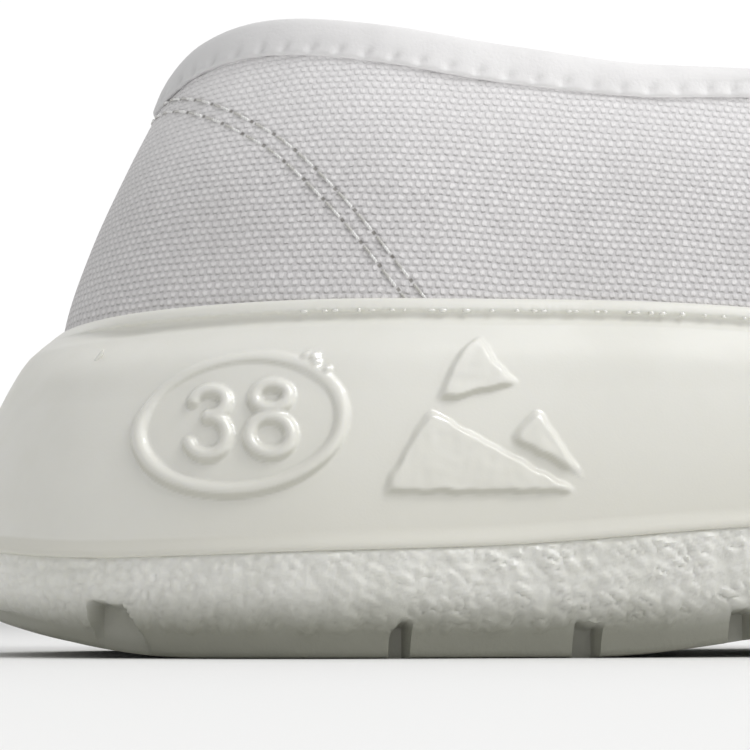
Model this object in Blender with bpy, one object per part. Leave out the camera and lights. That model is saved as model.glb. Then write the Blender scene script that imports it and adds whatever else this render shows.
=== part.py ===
"""Low canvas work shoe for the right foot: moulded sole, hollow canvas upper, collar tape and insole.

Frame: metres, +Z up, toe towards +X, outer side of the foot towards -Y, ground at Z = 0.
The tables are in millimetres; a station runs from 0 at the heel to 1 at the toe.
"""
import math

import bmesh
import bpy
import numpy as np

MM = 0.001

# Overall sizes
SOLE_LENGTH = 262.0
UPPER_BACK = 12.0
UPPER_TOE = 256.0
THROAT_STATION = 0.555
CANVAS_WALL = 1.8
FIT_GAP = 0.3
INSOLE_THICK = 3.0
INSOLE_INSET = 1.0
TAPE_THICK = 0.6
TAPE_LEG = 3.9
LEAN_REACH = 0.30
LONG_GROOVE_DEPTH = 3.4
GROOVE_DRAFT = 0.5

# Mesh fineness
REAR_COLUMNS = 30
VAMP_COLUMNS = 18
UPPER_ROWS = 8
INSOLE_COLUMNS = 36
WIDEST_COLUMN_GAP = 9.5
TOE_COLUMNS = 9
CAVITY_SHARES = (0.25, 0.5, 0.75)

# Plan of the sole at its side ledge: half widths each side of a shifting axis
SOLE_PLAN = (
    ("station", "lateral", "medial", "axis"),
    (0.00, 0.0, 0.0, 0.0),
    (0.05, 25.5, 25.5, 0.0),
    (0.13, 35.0, 34.5, 0.0),
    (0.25, 36.5, 33.5, 0.0),
    (0.40, 38.5, 30.5, 0.0),
    (0.52, 43.0, 33.5, 0.0),
    (0.63, 47.5, 41.0, 0.0),
    (0.73, 47.5, 44.5, 0.5),
    (0.83, 42.5, 43.0, 2.0),
    (0.91, 33.0, 36.0, 3.5),
    (0.97, 19.0, 22.0, 4.5),
    (1.00, 0.0, 0.0, 5.0),
)

# Sections of the canvas: half widths at the footbed, height of the crest above it, squareness of the arch
UPPER_SECTIONS = (
    ("station", "lateral", "medial", "axis", "crest", "square"),
    (0.00, 0.0, 0.0, 0.0, 78.0, 1.00),
    (0.05, 20.5, 20.5, 0.0, 78.3, 1.00),
    (0.13, 29.0, 28.5, 0.0, 79.0, 1.00),
    (0.25, 31.0, 29.0, 0.0, 82.0, 1.00),
    (0.36, 33.2, 27.8, 0.0, 82.0, 1.00),
    (0.45, 36.0, 28.4, 0.0, 73.5, 1.00),
    (0.52, 38.7, 30.4, 0.0, 64.5, 1.00),
    (0.60, 42.0, 34.8, 0.0, 54.5, 0.97),
    (0.68, 43.2, 38.8, 0.2, 47.0, 0.92),
    (0.76, 41.6, 39.8, 0.9, 41.0, 0.88),
    (0.84, 36.6, 37.6, 2.1, 35.0, 0.86),
    (0.91, 28.0, 31.2, 3.5, 28.0, 0.86),
    (0.97, 15.0, 18.0, 4.5, 17.5, 0.88),
    (1.00, 0.0, 0.0, 5.0, 0.0, 0.90),
)

# Heights along the canvas: footbed it stands on, top of the sole lip around it
UPPER_LEVELS = (
    ("station", "footbed", "lip"),
    (0.00, 21.0, 38.3),
    (0.15, 20.6, 39.3),
    (0.30, 19.2, 39.4),
    (0.42, 17.0, 37.0),
    (0.55, 14.0, 32.2),
    (0.68, 12.3, 28.9),
    (0.85, 13.4, 28.4),
    (1.00, 19.0, 32.5),
)

# Collar line as a share of the crest height, closing on the crest at the throat
COLLAR_LINE = (
    ("station", "share"),
    (0.00, 0.636),
    (0.012, 0.664),
    (0.06, 0.673),
    (0.13, 0.648),
    (0.20, 0.612),
    (0.28, 0.592),
    (0.36, 0.616),
    (0.43, 0.700),
    (0.50, 0.857),
    (THROAT_STATION, 1.0),
)

# Forward lean of the heel back with height above the footbed
HEEL_LEAN = (
    ("height", "shift"),
    (0.0, 0.3),
    (9.0, -0.6),
    (18.0, 0.0),
    (28.0, 3.0),
    (38.0, 7.2),
    (48.0, 12.0),
    (58.0, 17.0),
)

# Height of the side ledge above the ground
LEDGE_LEVELS = (
    ("station", "ledge"),
    (0.00, 12.9),
    (0.06, 10.9),
    (0.14, 11.5),
    (0.22, 12.3),
    (0.34, 14.7),
    (0.42, 15.4),
    (0.52, 14.0),
    (0.72, 11.4),
    (0.85, 12.0),
    (1.00, 17.5),
)

# Tread height along the ground: heel bevel, heel flat, arch, forefoot flat, toe spring
TREAD_LINE = (
    ("along", "height", "slope"),
    (0.0, 6.5, -0.46),
    (26.0, 0.0, 0.0),
    (66.0, 0.0, 0.0),
    (108.0, 4.2, 0.0),
    (148.0, 0.0, 0.0),
    (214.0, 0.0, 0.0),
    (262.0, 8.5, 0.36),
)

# Cross grooves of the tread
CROSS_GROOVES = (
    ("along", "width", "depth"),
    (15.5, 3.8, 5.0),
    (46.0, 2.4, 3.4),
    (66.5, 3.2, 3.4),
    (84.0, 3.0, 3.4),
    (104.0, 3.0, 3.4),
    (124.0, 3.0, 3.4),
    (144.0, 3.0, 3.4),
    (163.0, 3.0, 3.4),
    (182.0, 3.0, 3.4),
    (201.0, 3.0, 3.4),
    (220.0, 3.0, 3.4),
    (238.0, 3.2, 3.4),
)

# Long grooves, as shares of the half width of the tread
LONG_GROOVES = (
    ("inner", "outer"),
    (0.56, 0.68),
)
LONG_DRAFT = 0.02
TREAD_LINES_BETWEEN = (0.28, 0.0)

# Lip bead and the parting groove below it: distance out from the canvas gap, drop from the lip top
LIP_PROFILE = (
    ("out", "drop"),
    (1.00, 0.00),
    (1.50, 0.45),
    (1.62, 1.25),
    (1.38, 1.50),
    (1.42, 2.00),
    (2.05, 2.60),
)

# Side wall: share of the way in from the ledge to the lip, share of the height
WALL_PROFILE = (
    ("inward", "height"),
    (0.58, 0.86),
    (0.36, 0.65),
    (0.15, 0.35),
    (0.00, 0.00),
)

# Ledge at the foot of the wall, over the rough band: distance out, height from its edge
LEDGE_PROFILE = (
    ("out", "height"),
    (0.00, 1.70),
    (0.38, 0.45),
    (0.45, 0.05),
    (-0.10, -0.40),
)

# Rough band rolling under the sole: distance out, share of the height from the tread to the ledge
BAND_PROFILE = (
    ("out", "share"),
    (0.05, 0.64),
    (-0.60, 0.32),
    (-2.60, 0.08),
    (-4.50, 0.00),
)

# Colours: red, green, blue, roughness
FINISHES = {
    "sole": (0.74, 0.75, 0.70, 0.42),
    "upper": (0.62, 0.60, 0.61, 0.90),
    "collar_binding": (0.86, 0.85, 0.85, 0.70),
    "insole": (0.70, 0.69, 0.68, 0.92),
}


def column(table, name):
    """Values of one named column of a table."""
    place = table[0].index(name)
    return np.array([row[place] for row in table[1:]])


def end_rounded(station):
    """Parameter that spaces sections evenly round both ends."""
    return np.arccos(np.clip(1.0 - 2.0 * np.asarray(station, float), -1.0, 1.0)) / math.pi


def station_of(s):
    """Station of an end-rounded parameter."""
    return (1.0 - np.cos(math.pi * np.asarray(s, float))) / 2.0


def hermite(knots, values, slopes, at):
    """Cubic curve through the knots with the given slopes."""
    at = np.clip(at, knots[0], knots[-1])
    cell = np.clip(np.searchsorted(knots, at) - 1, 0, len(knots) - 2)
    step = knots[cell + 1] - knots[cell]
    t = (at - knots[cell]) / step
    rise = (3.0 - 2.0 * t) * t * t
    left = t * (1.0 - t) ** 2 * step * slopes[cell]
    right = t * t * (t - 1.0) * step * slopes[cell + 1]
    return values[cell] * (1.0 - rise) + values[cell + 1] * rise + left + right


def along(table, name, s, level_heel=False, level_toe=False):
    """Smooth value of a table column at parameter s, flat at an end where asked."""
    knots = end_rounded(column(table, "station"))
    values = column(table, name)
    slopes = np.gradient(values, knots)
    if level_heel:
        slopes[0] = 0.0
    if level_toe:
        slopes[-1] = 0.0
    return hermite(knots, values, slopes, s)


def footbed(s):
    """Height of the footbed."""
    return along(UPPER_LEVELS, "footbed", s, True, True)


def lip(s):
    """Height of the lip top."""
    return along(UPPER_LEVELS, "lip", s, True, True)


def crest(s):
    """Height of the canvas crest above the footbed."""
    return along(UPPER_SECTIONS, "crest", s, True)


def squareness(s):
    """Exponent of the section arch, below one for a squarer arch."""
    return along(UPPER_SECTIONS, "square", s, True, True)


def heel_lean(rise):
    """Forward shift of the heel back at a height above the footbed."""
    knots = column(HEEL_LEAN, "height")
    values = column(HEEL_LEAN, "shift")
    return hermite(knots, values, np.gradient(values, knots), rise)


def tread(x):
    """Height of the tread face at a distance along the sole."""
    knots = column(TREAD_LINE, "along")
    return hermite(knots, column(TREAD_LINE, "height"), column(TREAD_LINE, "slope"), x)


def upper_point(sigma, theta):
    """Point outside the canvas; sigma -1 outer toe, 0 heel, 1 inner toe; theta 0 footbed, pi/2 crest."""
    over = theta > math.pi / 2.0
    sigma = np.where(over, -sigma, sigma)
    theta = np.where(over, math.pi - theta, theta)
    s = np.abs(sigma)
    side = np.where(sigma < 0.0, -1.0, 1.0)
    outer = along(UPPER_SECTIONS, "lateral", s)
    inner = along(UPPER_SECTIONS, "medial", s)
    half = np.where(side < 0.0, outer, inner)
    axis = along(UPPER_SECTIONS, "axis", s, True, True)
    power = squareness(s)
    station = station_of(s)
    rise = crest(s) * np.clip(np.sin(theta), 0.0, 1.0) ** power
    lean = heel_lean(rise) * np.clip(1.0 - station / LEAN_REACH, 0.0, 1.0) ** 2
    x = UPPER_BACK + (UPPER_TOE - UPPER_BACK) * station + lean
    y = axis + side * half * np.clip(np.cos(theta), 0.0, 1.0) ** power
    return np.stack([x, y, footbed(s) + rise], axis=-1)


def upper_slopes(sigma, theta, step=1e-4):
    """Directions of the canvas surface along sigma and theta."""
    sigma = np.clip(sigma, -0.999, 0.999)
    ahead = upper_point(sigma + step, theta) - upper_point(sigma - step, theta)
    low = np.maximum(theta - step, 0.0)
    high = theta + step
    rise = (upper_point(sigma, high) - upper_point(sigma, low)) / (high - low)[..., None]
    return ahead / (2.0 * step), rise


def upper_normal(sigma, theta):
    """Outward direction of the canvas surface."""
    ahead, rise = upper_slopes(sigma, theta)
    normal = -np.cross(ahead, rise)
    return normal / np.linalg.norm(normal, axis=-1, keepdims=True)


def shell(sigma, theta, out):
    """Point a distance out from the canvas surface."""
    return upper_point(sigma, theta) + out * upper_normal(sigma, theta)


def collar_angle(s):
    """Section angle at which the canvas ends at the collar; a right angle forward of the throat."""
    share = np.clip(along(COLLAR_LINE, "share", s, True), 0.0, 1.0)
    share = np.where(s >= end_rounded(THROAT_STATION) - 1e-9, 1.0, share)
    return np.arcsin(share ** (1.0 / squareness(s)))


def loop(u):
    """Signed parameters once round the shoe from the heel along the inner side and back."""
    return np.concatenate([u, -u[-2:0:-1]])


def level_ring(u, share, out):
    """Ring outside the canvas at a share of the lip height, its toe on the crest."""
    low, high = 0.5, 1.0
    for _ in range(60):
        middle = (low + high) / 2.0
        if crest(middle) > share * (lip(middle) - footbed(middle)):
            low = middle
        else:
            high = middle
    s = end_rounded(station_of(high) * station_of(u))
    level = share * (lip(s) - footbed(s)) / np.maximum(crest(s), 1e-6)
    if share == 0.0:
        level = np.zeros_like(s)
    angle = np.arcsin(np.clip(level, 0.0, 1.0) ** (1.0 / squareness(s)))
    angle[-1] = math.pi / 2.0 if share > 0.0 else 0.0
    sigma = loop(s)
    theta = np.concatenate([angle, angle[-2:0:-1]])
    points = shell(sigma, theta, out)
    flat = upper_normal(sigma, theta)[:, :2]
    return points, flat / np.linalg.norm(flat, axis=1, keepdims=True)


def sole_plan(sigma):
    """Plan point of the sole at its ledge."""
    sigma = np.where(sigma > 1.0, sigma - 2.0, sigma)
    s = np.abs(sigma)
    outer = along(SOLE_PLAN, "lateral", s)
    inner = along(SOLE_PLAN, "medial", s)
    axis = along(SOLE_PLAN, "axis", s, True, True)
    y = axis + np.where(sigma < 0.0, -outer, inner)
    return np.stack([SOLE_LENGTH * station_of(s), y], axis=-1)


def sole_plan_out(sigma, step=1e-4):
    """Outward plan direction of the sole outline."""
    run = sole_plan(sigma + step) - sole_plan(sigma - step)
    out = np.stack([-run[:, 1], run[:, 0]], axis=-1)
    return out / np.linalg.norm(out, axis=1, keepdims=True)


class Skin:
    """Vertices and faces of one piece, gathered before its mesh is made."""

    def __init__(self):
        self.points = []
        self.faces = []

    def ring(self, points):
        """Add points and give their numbers."""
        first = len(self.points)
        self.points.extend(np.asarray(points, float).tolist())
        return list(range(first, len(self.points)))

    def face(self, corners):
        """Add a face, dropping corners that repeat."""
        kept = [c for k, c in enumerate(corners) if c != corners[k - 1]]
        if len(set(kept)) >= 3:
            self.faces.append(kept)

    def strip(self, one, two):
        """Faces between two rings of the same length."""
        for k in range(len(one)):
            self.face([one[k - 1], one[k], two[k], two[k - 1]])

    def step_down(self, coarse, fine, picks):
        """Faces between a coarse ring and a finer one that holds its columns."""
        size = len(fine)
        for k in range(len(coarse)):
            start = picks[k - 1]
            count = (picks[k] - start) % size
            edge = [fine[(start + n) % size] for n in range(count, -1, -1)]
            self.face([coarse[k - 1], coarse[k]] + edge)

    def cap(self, ring, lines):
        """Faces across a ring from rows of vertices that join its two sides."""
        half = len(ring) // 2
        rows = [[ring[k]] + lines[k - 1] + [ring[-k]] for k in range(1, half)]
        rows = [[ring[0]] * len(rows[0])] + rows + [[ring[half]] * len(rows[0])]
        for before, after in zip(rows, rows[1:]):
            for k in range(len(before) - 1):
                self.face([before[k], before[k + 1], after[k + 1], after[k]])


def groove_columns():
    """Parameters of the sole columns, the depth of cross groove at each, and the coarse ones among them."""
    marks = []
    for middle, width, depth in CROSS_GROOVES[1:]:
        edges = [middle - width / 2.0, middle + width / 2.0]
        marks.append((edges[0], 0.0, True))
        marks.append((edges[0] + GROOVE_DRAFT, depth, False))
        marks.append((edges[1] - GROOVE_DRAFT, depth, False))
        marks.append((edges[1], 0.0, True))
    columns = []
    previous = None
    for x, depth, coarse in marks:
        u = float(end_rounded(x / SOLE_LENGTH))
        if previous is None:
            columns.extend((n * u / 4.0, 0.0, True) for n in range(4))
        elif depth == 0.0 and x - previous[0] > WIDEST_COLUMN_GAP:
            parts = math.ceil((x - previous[0]) / WIDEST_COLUMN_GAP)
            for n in range(1, parts):
                filler = previous[0] + (x - previous[0]) * n / parts
                columns.append((float(end_rounded(filler / SOLE_LENGTH)), 0.0, True))
        columns.append((u, depth, coarse))
        previous = (x, u)
    last = previous[1]
    columns.extend((last + (1.0 - last) * n / TOE_COLUMNS, 0.0, True) for n in range(1, TOE_COLUMNS + 1))
    return columns


def build_sole():
    """Moulded sole in one solid: cavity, lip, parting groove, wall, ledge, band and lugged tread."""
    columns = groove_columns()
    u_fine = np.array([c[0] for c in columns])
    depths = np.array([c[1] for c in columns])
    keep = [k for k, c in enumerate(columns) if c[2]]
    u = u_fine[keep]
    skin = Skin()

    # Cavity that holds the canvas and the insole
    floor, _ = level_ring(u, 0.0, FIT_GAP)
    floor[:, 2] -= FIT_GAP
    floor_ring = skin.ring(floor)
    skin.cap(floor_ring, [[] for _ in range(len(u) - 2)])
    last = floor_ring
    for share in CAVITY_SHARES:
        ring, _ = level_ring(u, share, FIT_GAP)
        current = skin.ring(ring)
        skin.strip(last, current)
        last = current
    top, outward = level_ring(u, 1.0, FIT_GAP)
    current = skin.ring(top)
    skin.strip(last, current)
    last = current

    # Lip bead and parting groove
    for out, drop in LIP_PROFILE[1:]:
        plan = top[:, :2] + out * outward
        ring = np.column_stack([plan, top[:, 2] - drop])
        current = skin.ring(ring)
        skin.strip(last, current)
        last = current
    wall_top = ring

    # Side wall down to the ledge
    sigma = loop(u)
    plan = sole_plan(sigma)
    away = sole_plan_out(sigma)
    ledge = along(LEDGE_LEVELS, "ledge", np.abs(sigma), True, True)
    wall_foot = ledge + LEDGE_PROFILE[1][1]
    for inward, height in WALL_PROFILE[1:]:
        flat = plan + inward * (wall_top[:, :2] - plan)
        ring = np.column_stack([flat, wall_foot + height * (wall_top[:, 2] - wall_foot)])
        current = skin.ring(ring)
        skin.strip(last, current)
        last = current
    for out, height in LEDGE_PROFILE[2:]:
        current = skin.ring(np.column_stack([plan + out * away, ledge + height]))
        skin.strip(last, current)
        last = current

    # Rough band, cut at its foot by the cross grooves
    sigma = loop(u_fine)
    cut = np.concatenate([depths, depths[-2:0:-1]])
    plan = sole_plan(sigma)
    away = sole_plan_out(sigma)
    ledge = along(LEDGE_LEVELS, "ledge", np.abs(sigma), True, True)
    picks = keep + [len(sigma) - k for k in keep[-2:0:-1]]
    under = plan + BAND_PROFILE[-1][0] * away
    ground = tread(under[:, 0])
    ceiling = ground + cut
    for row, (out, share) in enumerate(BAND_PROFILE[1:]):
        height = np.maximum(ground + share * (ledge - ground), ceiling)
        current = skin.ring(np.column_stack([plan + out * away, height]))
        if row == 0:
            skin.step_down(last, current, picks)
        else:
            skin.strip(last, current)
        last = current

    # Tread with its long and cross grooves
    shares = []
    for inner, outer in LONG_GROOVES[1:]:
        shares.extend([(outer + LONG_DRAFT, False), (outer, True), (inner, True), (inner - LONG_DRAFT, False)])
    shares.extend((share, False) for share in TREAD_LINES_BETWEEN)
    shares.extend((-share, inside) for share, inside in reversed(shares[:-1]))
    first_cut = int(np.argmax(depths > 0.0))
    last_cut = len(depths) - 1 - int(np.argmax(depths[::-1] > 0.0))
    lines = []
    for k in range(1, len(u_fine) - 1):
        medial = under[k]
        lateral = under[len(sigma) - k]
        row = []
        for share, inside in shares:
            spot = lateral + (medial - lateral) * (share + 1.0) / 2.0
            sunk = LONG_GROOVE_DEPTH if inside and first_cut <= k <= last_cut else 0.0
            row.append([spot[0], spot[1], tread(spot[0]) + max(sunk, depths[k])])
        lines.append(skin.ring(row))
    skin.cap(last, lines)
    return skin


def build_upper():
    """Canvas upper in one hollow solid, open at the collar and underneath."""
    s_throat = float(end_rounded(THROAT_STATION))
    rear = s_throat * np.sin(np.linspace(0.0, math.pi / 2.0, REAR_COLUMNS + 1))
    vamp = np.linspace(s_throat, 1.0, VAMP_COLUMNS + 1)[1:]
    s = np.concatenate([rear, vamp])
    count = len(s) - 1
    skin = Skin()
    grids = []
    for out in (0.0, -CANVAS_WALL):
        sides = {}
        for side in (-1.0, 1.0):
            top = collar_angle(s)
            theta = top[:, None] * np.linspace(0.0, 1.0, UPPER_ROWS + 1)[None, :]
            sigma = np.repeat(side * s[:, None], UPPER_ROWS + 1, axis=1)
            points = shell(sigma, theta, out)
            rows = [skin.ring(points[k]) for k in range(count + 1)]
            rows[count] = [rows[count][0]] * (UPPER_ROWS + 1)
            sides[side] = rows
        sides[1.0][0] = sides[-1.0][0]
        sides[1.0][count] = sides[-1.0][count]
        for k in range(REAR_COLUMNS, count):
            sides[1.0][k][UPPER_ROWS] = sides[-1.0][k][UPPER_ROWS]
        grids.append(sides)
    for sides in grids:
        for rows in sides.values():
            for k in range(count):
                for j in range(UPPER_ROWS):
                    skin.face([rows[k][j], rows[k + 1][j], rows[k + 1][j + 1], rows[k][j + 1]])
    outside, inside = grids
    for side in (-1.0, 1.0):
        a, b = outside[side], inside[side]
        for k in range(count):
            skin.face([a[k][0], a[k + 1][0], b[k + 1][0], b[k][0]])
        for k in range(REAR_COLUMNS):
            skin.face([a[k][-1], a[k + 1][-1], b[k + 1][-1], b[k][-1]])
    return skin


def tape_profile():
    """Closed outline of the folded tape: distance out from the canvas face, distance below its edge."""
    outer = FIT_GAP + TAPE_THICK
    inner = -CANVAS_WALL - outer
    return (
        ("out", "below"),
        (outer, TAPE_LEG),
        (outer, 0.0),
        (0.3, -outer),
        (-CANVAS_WALL - 0.3, -outer),
        (inner, 0.0),
        (inner, TAPE_LEG),
        (-CANVAS_WALL - FIT_GAP, TAPE_LEG),
        (-CANVAS_WALL - FIT_GAP, -FIT_GAP),
        (FIT_GAP, -FIT_GAP),
        (FIT_GAP, TAPE_LEG),
    )


def below_edge(sigma, theta, run, below):
    """Surface parameters a distance below the collar edge, square to its run."""
    start = upper_point(sigma, theta)
    normal = upper_normal(sigma, theta)
    down = np.cross(normal, run)
    down /= np.linalg.norm(down, axis=1, keepdims=True)
    at_sigma, at_theta = sigma.copy(), theta.copy()
    for _ in range(6):
        gone = upper_point(at_sigma, at_theta) - start
        miss_run = -np.sum(gone * run, axis=1)
        miss_down = below - np.sum(gone * down, axis=1)
        ahead, rise = upper_slopes(at_sigma, at_theta)
        a, b = np.sum(ahead * run, axis=1), np.sum(rise * run, axis=1)
        c, d = np.sum(ahead * down, axis=1), np.sum(rise * down, axis=1)
        size = a * d - b * c
        at_sigma = at_sigma + (d * miss_run - b * miss_down) / size
        at_theta = at_theta + (a * miss_down - c * miss_run) / size
    return at_sigma, at_theta


def build_binding():
    """Tape folded over the collar edge, a closed ring of U section."""
    s_throat = float(end_rounded(THROAT_STATION))
    s = s_throat * np.sin(np.linspace(0.0, math.pi / 2.0, REAR_COLUMNS + 1))
    sigma = loop(s)
    angle = collar_angle(s)
    theta = np.concatenate([angle, angle[-2:0:-1]])
    edge = upper_point(sigma, theta)
    run = np.roll(edge, -1, axis=0) - np.roll(edge, 1, axis=0)
    run /= np.linalg.norm(run, axis=1, keepdims=True)
    skin = Skin()
    rings = []
    for out, below in tape_profile()[1:]:
        at_sigma, at_theta = below_edge(sigma, theta, run, below)
        rings.append(skin.ring(shell(at_sigma, at_theta, out)))
    for k in range(len(rings)):
        skin.strip(rings[k - 1], rings[k])
    return skin


def build_insole():
    """Flat insole lying on the footbed inside the canvas."""
    u = np.linspace(0.0, 1.0, INSOLE_COLUMNS + 1)
    sigma = loop(u)
    theta = np.zeros_like(sigma)
    ring = shell(sigma, theta, -CANVAS_WALL - INSOLE_INSET)
    ring[:, 2] = footbed(np.abs(sigma))
    skin = Skin()
    low = skin.ring(ring)
    high = skin.ring(ring + np.array([0.0, 0.0, INSOLE_THICK]))
    skin.strip(low, high)
    skin.cap(low, [[] for _ in range(len(u) - 2)])
    skin.cap(high, [[] for _ in range(len(u) - 2)])
    return skin


def finish(name):
    """Plain material of one piece."""
    red, green, blue, rough = FINISHES[name]
    material = bpy.data.materials.new(name)
    material.use_nodes = True
    shader = material.node_tree.nodes["Principled BSDF"]
    shader.inputs["Base Color"].default_value = (red, green, blue, 1.0)
    shader.inputs["Roughness"].default_value = rough
    return material


def place(name, skin, centre, collection):
    """Make the mesh object of one piece about the middle of the shoe."""
    points = (np.array(skin.points) - centre) * MM
    mesh = bpy.data.meshes.new(name)
    mesh.from_pydata([tuple(p) for p in points], [], skin.faces)
    work = bmesh.new()
    work.from_mesh(mesh)
    loose = [v for v in work.verts if not v.link_faces]
    bmesh.ops.delete(work, geom=loose, context="VERTS")
    bmesh.ops.triangulate(work, faces=work.faces[:])
    bmesh.ops.recalc_face_normals(work, faces=work.faces[:])
    work.to_mesh(mesh)
    work.free()
    mesh.materials.append(finish(name))
    part = bpy.data.objects.new(name, mesh)
    collection.objects.link(part)
    return part


def main():
    """Build the four pieces in one collection."""
    for old in list(bpy.data.objects):
        bpy.data.objects.remove(old, do_unlink=True)
    collection = bpy.data.collections.new("canvas_work_shoe")
    bpy.context.scene.collection.children.link(collection)
    sole = build_sole()
    points = np.array(sole.points)
    centre = (points.max(axis=0) + points.min(axis=0)) / 2.0
    centre[2] = 0.0
    place("sole", sole, centre, collection)
    place("upper", build_upper(), centre, collection)
    place("collar_binding", build_binding(), centre, collection)
    place("insole", build_insole(), centre, collection)


main()
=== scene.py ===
"""Looks of a low canvas work shoe for the right foot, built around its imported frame.

Blender holds metres: toe towards +X, outer side of the foot towards -Y, ground at Z = 0.
Sizes here are in millimetres measured from the back of the sole.
A station runs from 0 at the heel to 1 at the toe.
"""

import logging
import math
from dataclasses import dataclass
from enum import Enum

import bpy
import numpy as np
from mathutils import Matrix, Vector, noise


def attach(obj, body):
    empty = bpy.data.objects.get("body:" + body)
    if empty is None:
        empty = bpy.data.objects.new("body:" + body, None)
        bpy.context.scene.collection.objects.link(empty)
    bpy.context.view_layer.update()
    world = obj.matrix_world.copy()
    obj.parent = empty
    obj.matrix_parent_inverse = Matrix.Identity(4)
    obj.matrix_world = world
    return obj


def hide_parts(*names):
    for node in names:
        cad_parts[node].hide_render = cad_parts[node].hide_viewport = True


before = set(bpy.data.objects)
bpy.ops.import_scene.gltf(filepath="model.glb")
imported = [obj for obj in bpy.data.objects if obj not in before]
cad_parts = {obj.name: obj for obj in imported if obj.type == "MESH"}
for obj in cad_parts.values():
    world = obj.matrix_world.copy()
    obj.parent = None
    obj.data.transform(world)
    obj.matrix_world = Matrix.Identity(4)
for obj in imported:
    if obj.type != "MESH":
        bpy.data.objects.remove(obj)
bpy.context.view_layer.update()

LOG = logging.getLogger("canvas_work_shoe")
MM = 0.001
HAIR = 1e-9
TINY = 1e-12
RIGHT_ANGLE = math.pi / 2.0
FULL_TURN = 2.0 * math.pi
UP = np.array([0.0, 0.0, 1.0])
Array = np.ndarray
Object = bpy.types.Object
Material = bpy.types.Material
Node = bpy.types.Node
NodeTree = bpy.types.NodeTree
Socket = bpy.types.NodeSocket
Sockets = bpy.types.bpy_prop_collection
Pair = tuple[float, float]
Triple = tuple[float, float, float]
Colour = tuple[float, float, float, float]


class Side(Enum):
    """Side of the foot, with its sign across the shoe."""

    OUTER = -1.0
    INNER = 1.0


def end_rounded(station: Array) -> Array:
    """Parameter that spaces sections evenly round both ends of the shoe."""
    return np.arccos(np.clip(1.0 - 2.0 * np.asarray(station, float), -1.0, 1.0)) / math.pi


def station_of(s: Array) -> Array:
    """Station of an end-rounded parameter."""
    return (1.0 - np.cos(math.pi * np.asarray(s, float))) / 2.0


def smooth_step(low: float, high: float, value: Array) -> Array:
    """Soft step from 0 at low to 1 at high."""
    t = np.clip((np.asarray(value, float) - low) / (high - low), 0.0, 1.0)
    return t * t * (3.0 - 2.0 * t)


def hermite(knots: Array, values: Array, slopes: Array, at: Array) -> Array:
    """Cubic curve through knots.

    Args:
        knots: Rising places of the knots.
        values: Value at each knot.
        slopes: Slope at each knot.
        at: Places to read the curve at, held inside the knots.

    Returns:
        Values of the curve.
    """
    at = np.clip(at, knots[0], knots[-1])
    cell = np.clip(np.searchsorted(knots, at) - 1, 0, len(knots) - 2)
    step = knots[cell + 1] - knots[cell]
    t = (at - knots[cell]) / step
    rise = (3.0 - 2.0 * t) * t * t
    left = t * (1.0 - t) ** 2 * step * slopes[cell]
    right = t * t * (t - 1.0) * step * slopes[cell + 1]
    return values[cell] * (1.0 - rise) + values[cell + 1] * rise + left + right


def run_length(points: Array, axis: int) -> Array:
    """Length run along one axis of a grid of points, from its first entry.

    Args:
        points: Grid of points in millimetres.
        axis: Axis of the grid to run along.

    Returns:
        Length run at each point.
    """
    steps = np.linalg.norm(np.diff(points, axis=axis), axis=-1)
    start = np.zeros_like(np.take(steps, [0], axis=axis))
    return np.concatenate([start, np.cumsum(steps, axis=axis)], axis=axis)


def read_at(at: Array, length: Array, values: Array) -> Array:
    """Rows of values read at lengths run along a line."""
    return np.stack([np.interp(at, length, column) for column in values.T], axis=-1)


def unit(vectors: Array) -> Array:
    """Vectors brought to length one."""
    return vectors / np.maximum(np.linalg.norm(vectors, axis=-1, keepdims=True), TINY)


def on_plane(across: Array, up: Array) -> Array:
    """Points of a plane, with nothing along the third axis."""
    return np.stack([across, up, np.zeros_like(across)], axis=-1)


def soft_noise(points: Array, size: float, seed: float = 0.0) -> Array:
    """Smooth noise between about -1 and 1 at many points.

    Args:
        points: Points in millimetres, the last axis of length three.
        size: Size of the bumps in millimetres.
        seed: Shift that gives another pattern.

    Returns:
        Noise with the shape of the points less their last axis.
    """
    flat = (points.reshape(-1, 3) / size + seed).tolist()
    values = np.fromiter((noise.noise(Vector(p)) for p in flat), float, len(flat))
    return values.reshape(points.shape[:-1])


def cell_domes(points: Array, size: float, seed: float = 0.0) -> Array:
    """Rounded domes packed side by side.

    Args:
        points: Points in millimetres, the last axis of length three.
        size: Size of the domes in millimetres.
        seed: Shift that gives another pattern.

    Returns:
        1 at the top of each dome and 0 in the creases between, less the last axis of the points.
    """
    flat = (points.reshape(-1, 3) / size + seed).tolist()
    near = np.array([noise.voronoi(Vector(p))[0][:2] for p in flat])
    return (1.0 - (near[:, 0] / np.maximum(near[:, 1], HAIR)) ** 2).reshape(points.shape[:-1])


@dataclass(frozen=True)
class Table:
    """Short table of named columns, read as smooth curves."""

    names: tuple[str, ...]
    rows: tuple[tuple[float, ...], ...]

    def column(self, name: str) -> Array:
        """Values of one named column."""
        place = self.names.index(name)
        return np.array([row[place] for row in self.rows])

    def curve(self, over: str, name: str, at: Array) -> Array:
        """Smooth value of one column over another."""
        knots, values = self.column(over), self.column(name)
        return hermite(knots, values, np.gradient(values, knots), at)

    def along(self, name: str, s: Array, flat_heel: bool = False, flat_toe: bool = False) -> Array:
        """Smooth value of a column along the shoe.

        Args:
            name: Column to read.
            s: End-rounded parameters.
            flat_heel: Level the curve at the heel.
            flat_toe: Level the curve at the toe.

        Returns:
            Values of the column.
        """
        knots = end_rounded(self.column("station"))
        values = self.column(name)
        slopes = np.gradient(values, knots)
        if flat_heel:
            slopes[0] = 0.0
        if flat_toe:
            slopes[-1] = 0.0
        return hermite(knots, values, slopes, s)


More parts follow.
